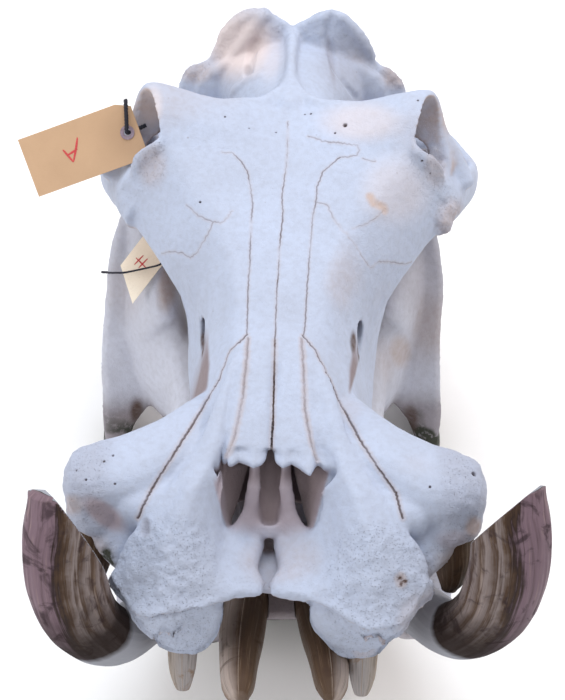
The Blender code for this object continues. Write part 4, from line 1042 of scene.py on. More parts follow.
# %% Seams, each as pixels along its line
MIDDLE_SEAM = [(288, 122), (287, 160), (282, 197), (283, 215), (280, 243), (277, 290), (276, 312),
               (275, 344)]
MIDDLE_CRACK = [[(275, 340), (274, 385), (273, 425)], [(273, 422), (272, 440), (271, 464)]]
NASAL_SEAMS = [
    [(222, 153), (232, 153), (242, 162), (248, 173), (251, 190), (253, 205), (251, 223), (250, 260),
     (248, 290), (247, 328), (247, 337)],
    [(340, 157), (323, 172), (317, 187), (316, 202), (313, 215), (310, 252), (307, 290), (305, 328),
     (303, 337)]]
BROW_SEAMS = [
    [(308, 136), (322, 141), (357, 145), (359, 150), (357, 155), (347, 157), (340, 157)],
    [(363, 158), (370, 161), (377, 162)],
    [(187, 205), (197, 215), (213, 222), (222, 223), (228, 217), (233, 210)],
    [(213, 223), (205, 240), (197, 253), (190, 258)],
    [(162, 253), (173, 252), (183, 253), (192, 259)],
    [(317, 202), (327, 205), (335, 220), (342, 230), (349, 234)],
    [(353, 228), (365, 225), (377, 217), (385, 210)],
    [(349, 237), (357, 247), (363, 257), (368, 265), (372, 268), (378, 262), (390, 262), (403, 264),
     (413, 262)]]
SNOUT_CRACKS = [
    [(247, 335), (231, 350), (219, 380), (199, 414), (179, 446), (164, 470), (149, 494), (142, 508),
     (137, 520)],
    [(303, 335), (316, 350), (330, 380), (339, 400), (347, 415), (359, 438), (378, 468), (396, 493),
     (403, 520)]]
NASAL_EDGES = [
    [(248, 338), (246, 365), (243, 395), (239, 417), (234, 439), (227, 458)],
    [(302, 338), (304, 372), (305, 408), (308, 426), (312, 444), (318, 462)]]
SMALL_HOLES = [(225, 117), (249, 129), (276, 133), (200, 202), (345, 125), (335, 133), (305, 115),
               (311, 114), (418, 100), (422, 161), (430, 173), (113, 455), (104, 461), (86, 480),
               (115, 484), (76, 470), (430, 487)]
LARGE_HOLES = [(474, 474), (345, 125)]
TAN_PATCH = [(370, 196), (374, 203), (384, 207), (386, 212)]
RED_SPOT = [(400, 578), (402, 584)]
DENT = [(145, 523), (145, 533)]
# The edge of the rough upper shelf on each of the snout's blocks, and the front outline of the nasal bones
# (x, s).
LEDGES = [
    [(100, 560), (114, 582), (121, 592), (131, 609), (147, 617), (166, 613), (185, 609), (205, 606),
     (236, 598)],
    [(304, 598), (318, 603), (335, 612), (352, 622), (368, 629), (385, 628), (402, 624), (413, 610),
     (424, 590), (440, 560)]]
NASAL_TIP = [(-46, 122), (-43, 113), (-36, 117), (-31, 122), (-24, 118), (-18, 113), (-11, 116),
             (-7.5, 123), (-5.5, 131), (-3.5, 131), (1, 119), (7, 113), (14.5, 119), (21.5, 115),
             (28.5, 108), (33, 105), (36, 112)]
# Ridges (negative depth) and hollows of the neck's bowl, as pixels with a width and a depth.
NECK_FORMS = [
    ([(265, 13), (254, 27), (235, 54), (215, 73)], 10, -4.0),
    ([(343, 18), (362, 40), (382, 66), (398, 88)], 9, -3.0),
    ([(331, 17), (327, 38), (335, 69), (346, 85), (358, 100)], 7, 3.0),
    ([(257, 42), (250, 58), (248, 74)], 9, 4.5),
    ([(232, 92), (246, 80), (262, 74)], 8, -2.5)]
MIDDLE_SHIFT = 3.8
CANAL_LINE = ((76, 284, 283), (70, 298, 288), (58, 324, 300))
# The nostrils' two slanting edges in the picture: where each crosses one row, and its slope.
NOSTRIL_FOOT_V = 462
NOSTRIL_LEFT_U, NOSTRIL_LEFT_SLOPE = 207, 0.296
NOSTRIL_RIGHT_U, NOSTRIL_RIGHT_SLOPE = 332, 0.268
print("seams and cracks:", 1 + len(NASAL_SEAMS + BROW_SEAMS + SNOUT_CRACKS + MIDDLE_CRACK))

# %% [markdown]
# ## Broad forms first
# The joined tubes still show where one ended: a step across the roof, a hard lip under the nostrils. Such
# places are relaxed until they flow. The snout's middle is then pushed a little to one side, as it really
# lies, and the fronts of its blocks step back below a rough shelf. Each place is a zone, stated by where its
# mask begins and where it is full, or a soft oval in the picture.

# %% Zones in millimetres: axis, where the mask begins, where it is full
ROOF_STEP = (("s", 205, 222), ("s", 282, 262), ("side", 56, 44), ("z", 322, 332))
NOSE_LIP = (("s", 68, 76), ("s", 112, 102), ("side", 52, 44), ("side", 5, 9), ("z", 236, 242),
            ("z", 280, 265))
EYE_RIMS = (("side", 104, 110), ("s", 440, 446), ("s", 516, 508), ("z", 372, 380))
CREST_ROOT = (("side", 46, 30), ("s", 500, 508), ("s", 575, 560), ("z", 372, 380))
NASAL_TIP_ZONE = (("s", 132, 114), ("z", 288, 298))
SHELF_ZONE = (("s", 78, 60), ("z", 185, 195))
BLOCK_FRONT = (("s", 84, 50), ("z", 150, 165))
BLOCK_OUTER = (("side", 40, 62),)
WINGS = (("side", 128, 150), ("s", 150, 138), ("z", 225, 240))
WING_FOOT = (("z", 268, 248),)
BACK_CREST = (("s", 640, 650), ("z", 270, 290))
TEAR_BONES = (("side", 108, 122), ("s", 405, 425), ("s", 450, 440))
EYE_HOLLOW = (("side", 112, 118), ("s", 452, 462), ("s", 506, 494), ("z", 352, 362))
NOSTRIL = (("s", 80, 96), ("s", 300, 240), ("z", 308, 300))
WING_MOSS = (("z", 282, 272),)
print("the nostrils are dark from", NOSTRIL[0][1], "mm behind the snout's front")

# %% Soft ovals in the picture: strength, middle, half width and half height in pixels, and lean in degrees
BROKEN_RIMS = ((1, 196, 72, 24, 16), (1, 396, 74, 20, 20), (1, 452, 222, 22, 32))
BROKEN_BROW = ((1, 437, 160, 14, 26),)
BROW_KNOBS = ((1, 152, 165, 20, 30), (1, 436, 165, 16, 30))
RED_FLECKS = ((1, 400, 578, 3, 3), (1, 405, 581, 3.5, 2.5), (1, 401, 584, 2.5, 3))
# Dark ovals at the mouths of the canals under the eyes: painted shade.
CANAL_RIMS = ((0.9, 203, 340, 3.5, 15), (0.9, 353, 342, 4, 15))
# A mauve tint under the canine wings, which paints shade there.
ROSY_SHADE_OVALS = ((1.2, 104, 514, 34, 15, 38), (0.5, 455, 540, 26, 14))
WING_STAINS = ((0.5, 72, 505, 16, 14), (0.7, 474, 527, 12, 14))
# Patches of painted sunlight: bright warm cream where light falls on the brow and the neck's bowl.
LIT_BROW_PATCHES = ((0.5, 362, 122, 55, 26), (0.4, 268, 50, 22, 40))
LIT_NECK_PATCHES = ((1, 240, 45, 48, 44), (0.6, 152, 105, 14, 26), (0.35, 395, 190, 45, 45))
# Painted shade on the neck's bowl: in a groove and a hollow, and over its right half.
NECK_SHADOWS = ((0.5, 331, 60, 5, 40, -8), (0.5, 248, 70, 6, 8))
NECK_SHADE_PATCHES = ((0.3, 350, 60, 42, 44), (0.3, 395, 75, 22, 22))
WING_MOSS_OVAL = ((1.3, 106, 563, 10, 19),)
print("rims with broken bone:", len(BROKEN_RIMS + BROKEN_BROW))

# %% Correct the cranium's broad forms
MIDDLE_WIDTH, MIDDLE_REACH = (50, 34), (330, 150)
NASAL_TIP_S = 109
LEDGE_STEP, LEDGE_LIP = 4.0, 2.0

clay = Clay(cranium)
roof_step = clay.zone(ROOF_STEP)
clay.relax(roof_step, rounds=90)
clay.relax(clay.zone(NOSE_LIP), rounds=25)
clay.relax(clay.zone(EYE_RIMS), rounds=4)
clay.relax(clay.zone(CREST_ROOT), rounds=30)
x, s, _ = clay.points.T
clay.points[:, 0] -= MIDDLE_SHIFT * within(np.abs(x), *MIDDLE_WIDTH) * within(s, *MIDDLE_REACH)
tip = clay.zone(NASAL_TIP_ZONE) * within(np.abs(x + MIDDLE_SHIFT), 45, 42)
clay.points[:, 1] += tip * (np.interp(x, *np.array(NASAL_TIP).T) - NASAL_TIP_S)
clay.look()
for line in LEDGES:
    left, right = line[0][0], line[-1][0]
    below = clay.v - np.interp(clay.u, *np.array(line).T)
    inside = within(clay.u, left - 2, left + 8) * within(clay.u, right + 2, right - 8)
    shelf = clay.zone(SHELF_ZONE) * inside * clay.facing
    lower = within(below + 2.5 * lumps(clay.points, 9, 41), -1.0, 3.0) * shelf
    edge = np.exp(-((below + 3) / 4) ** 2) * shelf
    clay.points[:, 1] += LEDGE_STEP * lower - LEDGE_LIP * edge
cranium_tree = surface_of(cranium)
for line, width, depth in NECK_FORMS:
    clay.press(path_on(cranium_tree, line), width, depth)
broken = clay.spots(BROKEN_RIMS + BROKEN_BROW)
clay.points += clay.normals * (lumps(clay.points, 10, 44) * 2.6 * np.clip(broken, 0, 1))[:, None]
clay.write()
cranium_tree = surface_of(cranium)
print("points moved by the step's relaxing:", int((roof_step > 0.5).sum()))

# %% Paths of the seams, each with its groove's width and depth and its share of darkening: dirt in seams and cracks, painted shade in holes
MIDDLE_GROOVE, NASAL_GROOVE, BROW_GROOVE = (0.9, 0.8, 0.8), (0.9, 0.7, 0.6), (0.8, 0.4, 0.35)
CRACK_GROOVE, EDGE_GROOVE = (1.3, 1.8, 0.75), (1.7, 1.3, 0.35)
SMALL_HOLE, LARGE_HOLE = (1.5, 2.5, 0.95), (2.7, 5.0, 1.0)

seams = [(path_on(cranium_tree, MIDDLE_SEAM, 0.45), *MIDDLE_GROOVE)]
seams += [(path_on(cranium_tree, line, 0.45, seed=3), *NASAL_GROOVE) for line in NASAL_SEAMS]
seams += [(path_on(cranium_tree, line, 0.6, seed=5), *BROW_GROOVE) for line in BROW_SEAMS]
cracks = [(path_on(cranium_tree, line, 0.5, seed=7), *CRACK_GROOVE) for line in SNOUT_CRACKS]
cracks += [(path_on(cranium_tree, line, 0.2), width, depth, 1.0)
           for line, width, depth in zip(MIDDLE_CRACK, (0.8, 1.3), (1.5, 4.0))]
edges = [(path_on(cranium_tree, line, 0.4, seed=9), *EDGE_GROOVE) for line in NASAL_EDGES]
holes = [([seen(cranium_tree, u, v)], *SMALL_HOLE) for u, v in SMALL_HOLES]
holes += [([seen(cranium_tree, u, v)], *LARGE_HOLE) for u, v in LARGE_HOLES]
thin = [path for path, _, _, _ in seams + cracks + edges + holes]
print("edges halved:", refine(cranium, thin, 5.0), "and again:", refine(cranium, thin, 2.6))

# %% [markdown]
# ## Working over the cranium
# The order matters: muscle scars first, then seams and holes, and the finest tooth of roughness last, so
# that nothing blurs what was cut before. The tan stain mark also follows the hollows and the surfaces that
# face down, and there it is painted shade rather than a stain of the bone.

# %% Roughen the cranium and press its seams
clay = Clay(cranium)
clay.look()

# Muscle scars: wide, soft unevenness everywhere, and rough bone on the snout's blocks, the wings and the
# back crest.
clay.roughen(size=45, depth=0.9, octaves=2, seed=1)
front = clay.zone(BLOCK_FRONT) * (0.35 + 0.65 * clay.zone(BLOCK_OUTER))
wings = clay.zone(WINGS)
back = clay.zone(BACK_CREST)
tear = clay.zone(TEAR_BONES)
broken = clay.spots(BROKEN_RIMS)
knobs = clay.spots(BROW_KNOBS)
porous = np.clip(front + 0.6 * wings + 0.5 * back + 0.6 * tear + 0.9 * broken + 0.7 * knobs, 0, 1)
clay.roughen(size=9, depth=1.1, where=porous, seed=2)
patchy = porous * (0.6 + 0.4 * lumps(clay.points, size=18, seed=6))
clay.roughen(size=4.6, depth=0.9, where=patchy, octaves=2, seed=5)
clay.roughen(size=14, depth=0.28, octaves=3, seed=8)
clay.mark("porous", porous)

for path, width, depth, dark_share in seams:
    clay.press(path, width, depth, grime=(0.85, dark_share), stain=(2.6, 0.2))
for path, width, depth, dark_share in edges:
    clay.press(path, width, depth, grime=(1.0, dark_share), stain=(4.2, 0.45))
for path, width, depth, dark_share in cracks:
    clay.press(path, width, depth, grime=(1.25, dark_share), stain=(4.0, 0.35))
# Small holes darkened inside: painted shade.
for path, width, depth, dark_share in holes:
    clay.press(path, width, depth, grime=(width, dark_share))
clay.press(path_on(cranium_tree, TAN_PATCH), width=5.0, depth=0.6, stain=(5.5, 0.95))
clay.press(path_on(cranium_tree, RED_SPOT), width=4.0, depth=1.2, stain=(6.5, 0.6))
clay.mark("grime", clay.spots(RED_FLECKS))
# A dent on the left wing, with painted shade in and round it.
clay.press(path_on(cranium_tree, DENT), width=4.5, depth=2.0, shade=(6.0, 0.5))
# The canal under each eye is darkened all along: painted shade.
for side, _ in SIDES:
    line = [(side * out, *rest) for out, *rest in CANAL_LINE]
    clay.press(line, width=1.0, depth=0.0, grime=(11.0, 1.1))
print("in the roughest bone:", int((porous > 0.5).sum()), "points")

# %% Stain the cranium, and settle it
_, s, z = clay.points.T
# Tan on faces turned down, and inside the eye sockets on faces not turned up, is painted shade; the clouds of
# tan over the rest are stain.
down = within(clay.normals[:, 2], -0.15, -0.6)
clay.mark("stain", 0.55 * down + 0.25 * within(lumps(clay.points, 60, 12), 0.35, 0.8))
clay.mark("stain", 0.8 * clay.zone(EYE_HOLLOW) * within(clay.normals[:, 2], 0.75, 0.2))
clay.mark("stain", 0.5 * wings * clay.zone(WING_FOOT))
# Inside the nostrils, bounded by their slanting edges as the camera sees them: painted shade, darker the
# deeper it lies, and a mauve tint that is painted shade too. The canine wings get a little painted shade as
# well.
lower_by = clay.v - NOSTRIL_FOOT_V
left_edge = NOSTRIL_LEFT_U + lower_by * NOSTRIL_LEFT_SLOPE
right_edge = NOSTRIL_RIGHT_U - lower_by * NOSTRIL_RIGHT_SLOPE
nose = clay.zone(NOSTRIL) * within(clay.u - left_edge, -1, 2) * within(right_edge - clay.u, -1, 2)
clay.mark("shade", 1.2 * nose * within(s - (z - 250) * 0.55, 84, 102) + 0.2 * wings)
clay.mark("rosy", nose)
# Painted shade at the canals' mouths.
clay.mark("grime", clay.spots(CANAL_RIMS))
# Mauve under the canine wings: painted shade.
clay.mark("rosy", clay.spots(ROSY_SHADE_OVALS))
clay.mark("stain", clay.spots(WING_STAINS) + 0.5 * broken + 0.35 * knobs)
# Painted sunlight on the brow.
clay.mark("cream", clay.spots(LIT_BROW_PATCHES))
# Painted shadow in a groove and a hollow of the neck's bowl.
clay.mark("shade", clay.spots(NECK_SHADOWS))
clay.mark("moss", clay.spots(WING_MOSS_OVAL) * clay.zone(WING_MOSS))
# Painted sunlight on the neck's bowl and on the brow beside the eyes.
clay.mark("cream", clay.spots(LIT_NECK_PATCHES))
# Painted shade over the right half of the neck's bowl.
clay.mark("shade", clay.spots(NECK_SHADE_PATCHES))
clay.settle(SKULL_PLACE)
print("cranium points:", len(clay.points))

# %% [markdown]
# ## Working over the lower jaw
# The jaw is given a greyer colour than the cranium. Moss grows low on it, on the tips of its hooks. Its
# outer plate carries low ridges where the chewing muscles pulled. Round its notches, on the chin and over
# its right branch it carries painted shade.

# %% Press the lower jaw's details
MUSCLE_RIDGES = (("s", 400, 430), ("side", 120, 135))
CHIN = (("s", 190, 150),)
DAMP_FOOT = (("z", 95, 25), ("s", 470, 440))
MOSSY_FOOT = (("z", 60, 20),)
SHADY_FOOT = (("z", 110, 70), ("s", 480, 450))
CHIN_MIDDLE = (("side", 60, 30), ("s", 200, 150))
RIGHT_BRANCH = (("x", 60, 120), ("s", 400, 430))
CHIN_SHADOW = ((0.8, 268, 600, 20, 26),)
BLADE_STAINS = ((0.8, 168, 285, 14, 36, 8), (0.6, 400, 352, 16, 22))
NOTCH_SHADE = ((0.9, 137, 412, 10, 18), (0.8, 410, 420, 12, 20))

clay = Clay(jaw)
clay.look(SKULL_PLACE.inverted() @ JAW_PLACE)
clay.roughen(size=50, depth=1.2, octaves=2, seed=21)
clay.roughen(size=13, depth=0.3, octaves=3, seed=22)
stretched = clay.points * np.array((1, 0.5, 0.25))
ridges = clay.zone(MUSCLE_RIDGES)
clay.points += clay.normals * (lumps(stretched, 11, 23) * 0.5 * ridges)[:, None]
chin = clay.zone(CHIN)
clay.roughen(size=8, depth=0.5, where=chin, seed=24)
clay.mark("porous", 0.7 * chin)
patches = within(lumps(clay.points, 14, 25) + clay.zone(MOSSY_FOOT, 0.8), 0.0, 0.7)
clay.mark("moss", clay.zone(DAMP_FOOT) * patches)
# Painted shade low at the back of the jaw, by its notches.
clay.mark("shade", clay.zone(SHADY_FOOT, 0.8))
# Painted shade on the chin between the tusks.
clay.mark("shade", clay.zone(CHIN_MIDDLE, 1.2) + clay.spots(CHIN_SHADOW))
clay.mark("stain", 0.4 * within(lumps(clay.points, 55, 26), 0.1, 0.8))
# Painted shade over the right branch, which faces away from the lamps.
clay.mark("shade", clay.zone(RIGHT_BRANCH, 0.35))
clay.mark("stain", clay.spots(BLADE_STAINS))
# Near-black round the notches in front of the hooks: painted shade.
clay.mark("grime", clay.spots(NOTCH_SHADE))
clay.points[:, 2] = np.maximum(clay.points[:, 2], 0.0)
clay.settle(JAW_PLACE)
print("jaw points:", len(clay.points))

# %% [markdown]
# ## Tusks and incisors
# Hippo ivory grows in long flutes, so each column gets shallow grooves along its length. The tusks' tips
# are worn to a slope against the upper canines and blunted, which Booleans cut cleanly. The finish reads
# where a point lies on the tooth from two marks: `along` runs from the root to the tip, and `around` runs
# once about it.

# %% Big teeth: points round, steps between knots, flutes, and the flutes' depth
TUSK_DETAIL = (160, 26, 6, 0.45)
PEG_DETAIL = (96, 16, 6, 0.35)


def loft_marks(obj, rows, around, side):
    """Stores how far along and where round each point of a tube lies, and the same for its two end points."""
    place = np.arange(rows * around)
    along = np.append(place // around / (rows - 1), (0.0, 1.0))
    turn = np.append(place % around / around, (0.0, 0.0))
    if side < 0:
        turn = (0.5 - turn) % 1.0
    for name, values in (("along", along), ("around", turn)):
        layer = obj.data.attributes.new(name, "FLOAT", "POINT")
        layer.data.foreach_set("value", values.astype(np.float32))
    return along, turn


def tooth(name, knots, side, up, around, steps, flutes, depth):
    """One big tooth with flutes along it."""
    obj = sweep(name, knots, side=side, up=up, power=2.3, around=around, steps=steps, dome=end_dome(name))
    mesh = obj.data
    rows = (len(mesh.vertices) - 2) // around
    along, turn = loft_marks(obj, rows, around, side)
    points = Clay.read(mesh.vertices, "co")
    normals = Clay.read(mesh.vertex_normals, "vector")
    angle = 2 * np.pi * turn
    circle_place = np.stack([np.cos(angle) * flutes, np.sin(angle) * flutes, along * 2.5], axis=1)
    relief = rough(circle_place, 1.0, 3, seed=31) * depth
    relief += lumps(points / MM, 16, 32) * depth * 0.4
    fade = within(along, 1.0, 0.93)
    points += normals * (relief * fade * MM)[:, None]
    mesh.vertices.foreach_set("co", points.astype(np.float32).ravel())
    bpy.context.scene.collection.objects.link(obj)
    return obj


def facet_block(side, tip, away):
    """A block whose lower face is a worn slope at the end of a lower tusk."""
    tip, away = mirror_sign(side, tip), mirror_sign(side, away).normalized()
    bm = bmesh.new()
    bmesh.ops.create_cube(bm, size=200.0 * MM)
    turn = away.to_track_quat("Z", "Y").to_matrix().to_4x4()
    bm.transform(Matrix.Translation((tip + away * 100) * MM) @ turn)
    return bpy.data.objects.new("facet", mesh_of("facet", bm))


teeth = {}
for name, knots, up, host, shift in BIG_TEETH:
    for side, tag in SIDES:
        tusk = name == "lower_canine"
        obj = tooth(f"{name}_{tag}_ivory", shifted(knots, side, shift), side, up,
                    *(TUSK_DETAIL if tusk else PEG_DETAIL))
        if tusk:
            for tip, away in TUSK_FACETS[side]:
                combine(obj, [facet_block(side, tip, away)], "DIFFERENCE", "EXACT")
        obj.data.transform(JAW_PLACE if host == "jaw" else SKULL_PLACE)
        obj.data.shade_smooth()
        if tusk:
            obj.data.set_sharp_from_angle(angle=math.radians(35))
        teeth[f"{name}_{tag}"] = obj
print("tusk faces:", len(teeth["lower_canine_left"].data.polygons))

# %% [markdown]
# ## Cheek teeth
# The grinding teeth stand in a row on each side of both jaws, small ones in front and three large ones
# behind. A worn hippo molar is a lobed column with deep clefts down its sides and a swollen collar at the
# gum.

# %% Cheek teeth
UPPER_TEETH = ((30, 20, 60), (33, 24, 62), (35, 30, 63), (43, 38, 63), (49, 43, 64), (52, 42, 65))
LOWER_TEETH = ((30, 16, 60), (33, 20, 62), (36, 24, 63), (43, 30, 63), (49, 34, 64), (56, 32, 65))
ROW_START = 194.0
TOOTH_GAP = 1.5
TOOTH_RINGS, TOOTH_POINTS = 22, 72
INSIDE_GUM = 36


def cheek_tooth(length, width, x, s, upper, side):
    """One lobed column from inside the gum to the biting plane."""
    middle = s + length / 2
    bite = bite_line(middle) + (GAP if upper else -GAP)
    reach = INSIDE_GUM if upper else -INSIDE_GUM
    lobes = 0.17 if length > 40 else 0.06
    rings = []
    for k in range(TOOTH_RINGS):
        share = k / (TOOTH_RINGS - 1)
        belly = math.sin(math.pi * min((1 - share) * 1.25, 1))
        swell = 0.86 + 0.14 * belly - 0.05 * max(share - 0.9, 0) * 10
        collar = 0.05 * math.exp(-((share - 0.42) / 0.06) ** 2)
        ring = []
        for i in range(TOOTH_POINTS):
            angle = 2 * math.pi * i / TOOTH_POINTS
            fold = abs(math.sin(2 * angle)) ** 0.7 - 0.6
            cleft = 1 + lobes * fold + 0.012 * math.sin(14 * angle + 9 * share)
            px = side * x + width / 2 * (swell + collar) * cleft * math.cos(angle)
            ps = middle + length / 2 * (swell + collar) * cleft * math.sin(angle)
            ring.append(Vector((px, ps, bite + reach * (1 - share) + BITE_SLOPE * (ps - middle))))
        rings.append(ring)
    return skin("cheek_tooth", rings)


def cheek_row(name, sizes, upper):
    """All the cheek teeth of one jaw as one piece."""
    bm = bmesh.new()
    s = ROW_START
    for length, width, x in sizes:
        for side, _ in SIDES:
            made = cheek_tooth(length, width, x, s, upper, side)
            bm.from_mesh(made.data)
            bpy.data.objects.remove(made)
        s += length + TOOTH_GAP
    mesh = mesh_of(name, bm)
    mesh.transform(SKULL_PLACE if upper else JAW_PLACE)
    mesh.shade_smooth()
    return linked(name, mesh)


upper_row = cheek_row("upper_cheek_teeth", UPPER_TEETH, True)
lower_row = cheek_row("lower_cheek_teeth", LOWER_TEETH, False)
print("cheek teeth:", 2 * (len(UPPER_TEETH) + len(LOWER_TEETH)))

# %% [markdown]
# ## The paper tags
# A shipping tag is a plain manila card with two cut corners and a ringed hole. Card that has hung on a
# string for years is never flat, so each card is cut into strips and bowed slightly. Its writing is left
# out: the card carries only two or three plain strokes of a red pencil, as thin ribbons that lie on the
# paper.

# %% Cards
TAG_LENGTH, TAG_WIDTH, TAG_THICK = 116.0, 59.0, 1.2
TAG_CORNER = (14.3, 6.4)
TAG_HOLE, TAG_HOLE_IN, TAG_RING = 3.6, 12.0, 7.0
TAG_PLACE = (-200.0, 462.8, 377.3)
TAG_TILT = (math.radians(-37.5), math.radians(-21.0))
SMALL_TAG_THICK = 1.0
SMALL_TAG_SIDES = (56.0, 41.0)
SMALL_TAG_SKEW = math.radians(35.0)
SMALL_TAG_PLACE = (-144.8, 428.1, 260.8)
SMALL_TAG_TILT = (math.radians(-44.5), math.radians(-54.0))
RING_THICK, RING_LIFT = 0.7, 0.55
PENCIL_THICK, PENCIL_LIFT = 0.34, 0.1
PENCIL_WIDE, SMALL_PENCIL_WIDE = 2.2, 1.4
TAG_BOW, SMALL_TAG_BOW = 0.8, 0.5
CARD_BEVEL = 0.15
STRIP = 3
CIRCLE_POINTS = 40
STROKE_STEPS = 12


def placed(point, tilt):
    x_turn, y_turn = tilt
    return (SKULL_PLACE @ Matrix.Translation(Vector(point) * MM) @ Matrix.Rotation(x_turn, 4, "X")
            @ Matrix.Rotation(y_turn, 4, "Y"))


def circle(x, z, radius):
    angles = [2 * math.pi * k / CIRCLE_POINTS for k in range(CIRCLE_POINTS)]
    return [(x + radius * math.cos(angle), z + radius * math.sin(angle)) for angle in angles]


def plate(name, outlines, thick, front, bow, place):
    """A card or flat ring; `front` lifts it off its tag's middle plane and bow bends it along its length."""
    curve = bpy.data.curves.new(name, "CURVE")
    curve.dimensions = "2D"
    curve.fill_mode = "BOTH"
    curve.extrude = (thick / 2 - CARD_BEVEL) * MM
    curve.bevel_depth = CARD_BEVEL * MM
    curve.offset = -CARD_BEVEL * MM
    for outline in outlines:
        spline = curve.splines.new("POLY")
        spline.points.add(len(outline) - 1)
        for point, (px, pz) in zip(spline.points, outline):
            point.co = (px * MM, pz * MM, 0, 1)
        spline.use_cyclic_u = True
    flat = linked(name, curve)
    settled = bpy.data.meshes.new_from_object(flat.evaluated_get(bpy.context.evaluated_depsgraph_get()))
    bpy.data.objects.remove(flat)
    bm = bmesh.new()
    bm.from_mesh(settled)
    for normal, reach in ((Vector((1, 0, 0)), TAG_LENGTH / 2), (Vector((0, 1, 0)), TAG_WIDTH / 2)):
        for k in range(int(-reach // STRIP) + 1, int(reach // STRIP) + 1):
            bmesh.ops.bisect_plane(bm, geom=bm.verts[:] + bm.edges[:] + bm.faces[:],
                                   plane_co=normal * k * STRIP * MM, plane_no=normal)
    bm.transform(Matrix.Rotation(math.radians(90), 4, "X"))
    for vert in bm.verts:
        px, _, pz = vert.co / MM
        sag = bow * (1 - (px / (TAG_LENGTH / 2)) ** 2) + bow * 0.35 * math.sin(px / 17) * math.cos(pz / 11)
        vert.co.y += (sag - front) * MM
    bm.transform(place)
    bm.to_mesh(settled)
    bm.free()
    return linked(name, settled)


def stroke(points, width):
    """The outline of a pencil stroke, a little thinner at its ends."""
    if len(points) > 2:
        line = smooth_line(points, STROKE_STEPS + 1)
    else:
        line = [tuple(a + (b - a) * k / STROKE_STEPS for a, b in zip(*points))
                for k in range(STROKE_STEPS + 1)]
    left, right = [], []
    for k, (px, pz) in enumerate(line):
        (ax, az), (bx, bz) = line[max(k - 1, 0)], line[min(k + 1, STROKE_STEPS)]
        way = Vector((bx - ax, bz - az)).normalized()
        half = width / 2 * (0.55 + 0.45 * math.sin(math.pi * k / STROKE_STEPS))
        left.append((px - way.y * half, pz + way.x * half))
        right.append((px + way.y * half, pz - way.x * half))
    return left + right[::-1]


long, wide = TAG_LENGTH / 2, TAG_WIDTH / 2
hole_x = long - TAG_HOLE_IN
tag_place = placed(TAG_PLACE, TAG_TILT)
tag_outline = [(-long, -wide), (long - TAG_CORNER[0], -wide), (long, TAG_CORNER[1] - wide),
               (long, wide - TAG_CORNER[1]), (long - TAG_CORNER[0], wide), (-long, wide)]
big_card = plate("specimen_tag_card", [tag_outline, circle(hole_x, 0, TAG_HOLE)], TAG_THICK, 0, TAG_BOW,
                 tag_place)
eyelet = plate("tag_ring_disc", [circle(hole_x, 0, TAG_RING), circle(hole_x, 0, TAG_HOLE)], RING_THICK,
               TAG_THICK / 2 + RING_LIFT, TAG_BOW, tag_place)
half_long, half_wide = SMALL_TAG_SIDES[0] / 2, SMALL_TAG_SIDES[1] / 2
lean, high = math.sin(SMALL_TAG_SKEW) * half_wide, math.cos(SMALL_TAG_SKEW) * half_wide
small_outline = [(-half_long - lean, -high), (half_long - lean, -high), (half_long + lean, high),
                 (-half_long + lean, high)]
small_place = placed(SMALL_TAG_PLACE, SMALL_TAG_TILT)
small_card = plate("small_tag_card", [small_outline], SMALL_TAG_THICK, 0, SMALL_TAG_BOW, small_place)

TICK = [[(-19.5, 5.5), (-14.0, -9.0)], [(-14.0, -9.0), (-7.0, 2.5), (-2.0, 12.0)],
        [(-17.0, -1.0), (-6.0, 1.5)]]
BARS = [[(-7.0, 6.0), (6.0, 4.5)], [(-7.0, 0.5), (6.0, -1.0)], [(-0.5, 9.0), (-2.5, -6.0)]]
pencil = [plate(f"tag_stroke_{k}", [stroke(line, PENCIL_WIDE)], PENCIL_THICK,
                TAG_THICK / 2 + PENCIL_LIFT, TAG_BOW, tag_place) for k, line in enumerate(TICK)]
pencil += [plate(f"small_tag_stroke_{k}", [stroke(line, SMALL_PENCIL_WIDE)], PENCIL_THICK,
                 SMALL_TAG_THICK / 2 + PENCIL_LIFT, SMALL_TAG_BOW, small_place)
           for k, line in enumerate(BARS)]
print("cards and strokes:", 2 + len(pencil))

# %% [markdown]
# ## Cord and string
# Both are twisted yarn. A plain tube looks like wire, so each is three strands that wind round one line.
# The line passes through the same points as in the imported model.

# %% Twisted cords
CORD_HALF = 2.2
CORD = [(65.0, -8.4, 1.0), (58.5, -7.5, 0.5), (52.0, -6.8, 0.0), (47.6, -4.5, 0.0), (46.0, 0.0, 0.0),
        (46.3, 4.4, 1.4), (48.5, 4.6, 7.6), (50.6, 4.2, 14.2), (52.5, 4.2, 20.0), (53.9, 4.4, 24.5),
        (54.8, 3.4, 27.8), (55.3, 1.2, 29.8)]
STRING_HALF = 1.2
STRING = [(-121.7, 420.1, 276.2), (-124.0, 416.5, 274.0), (-127.1, 415.1, 269.7), (-145.1, 418.4, 260.8),
          (-162.3, 415.8, 257.8), (-171.6, 422.4, 251.3), (-181.3, 436.3, 238.6), (-191.4, 452.8, 224.2),
          (-194.3, 465.0, 213.9), (-187.7, 471.9, 207.9)]


STRANDS = 3
STRAND_OUT, STRAND_HALF = 0.46, 0.54


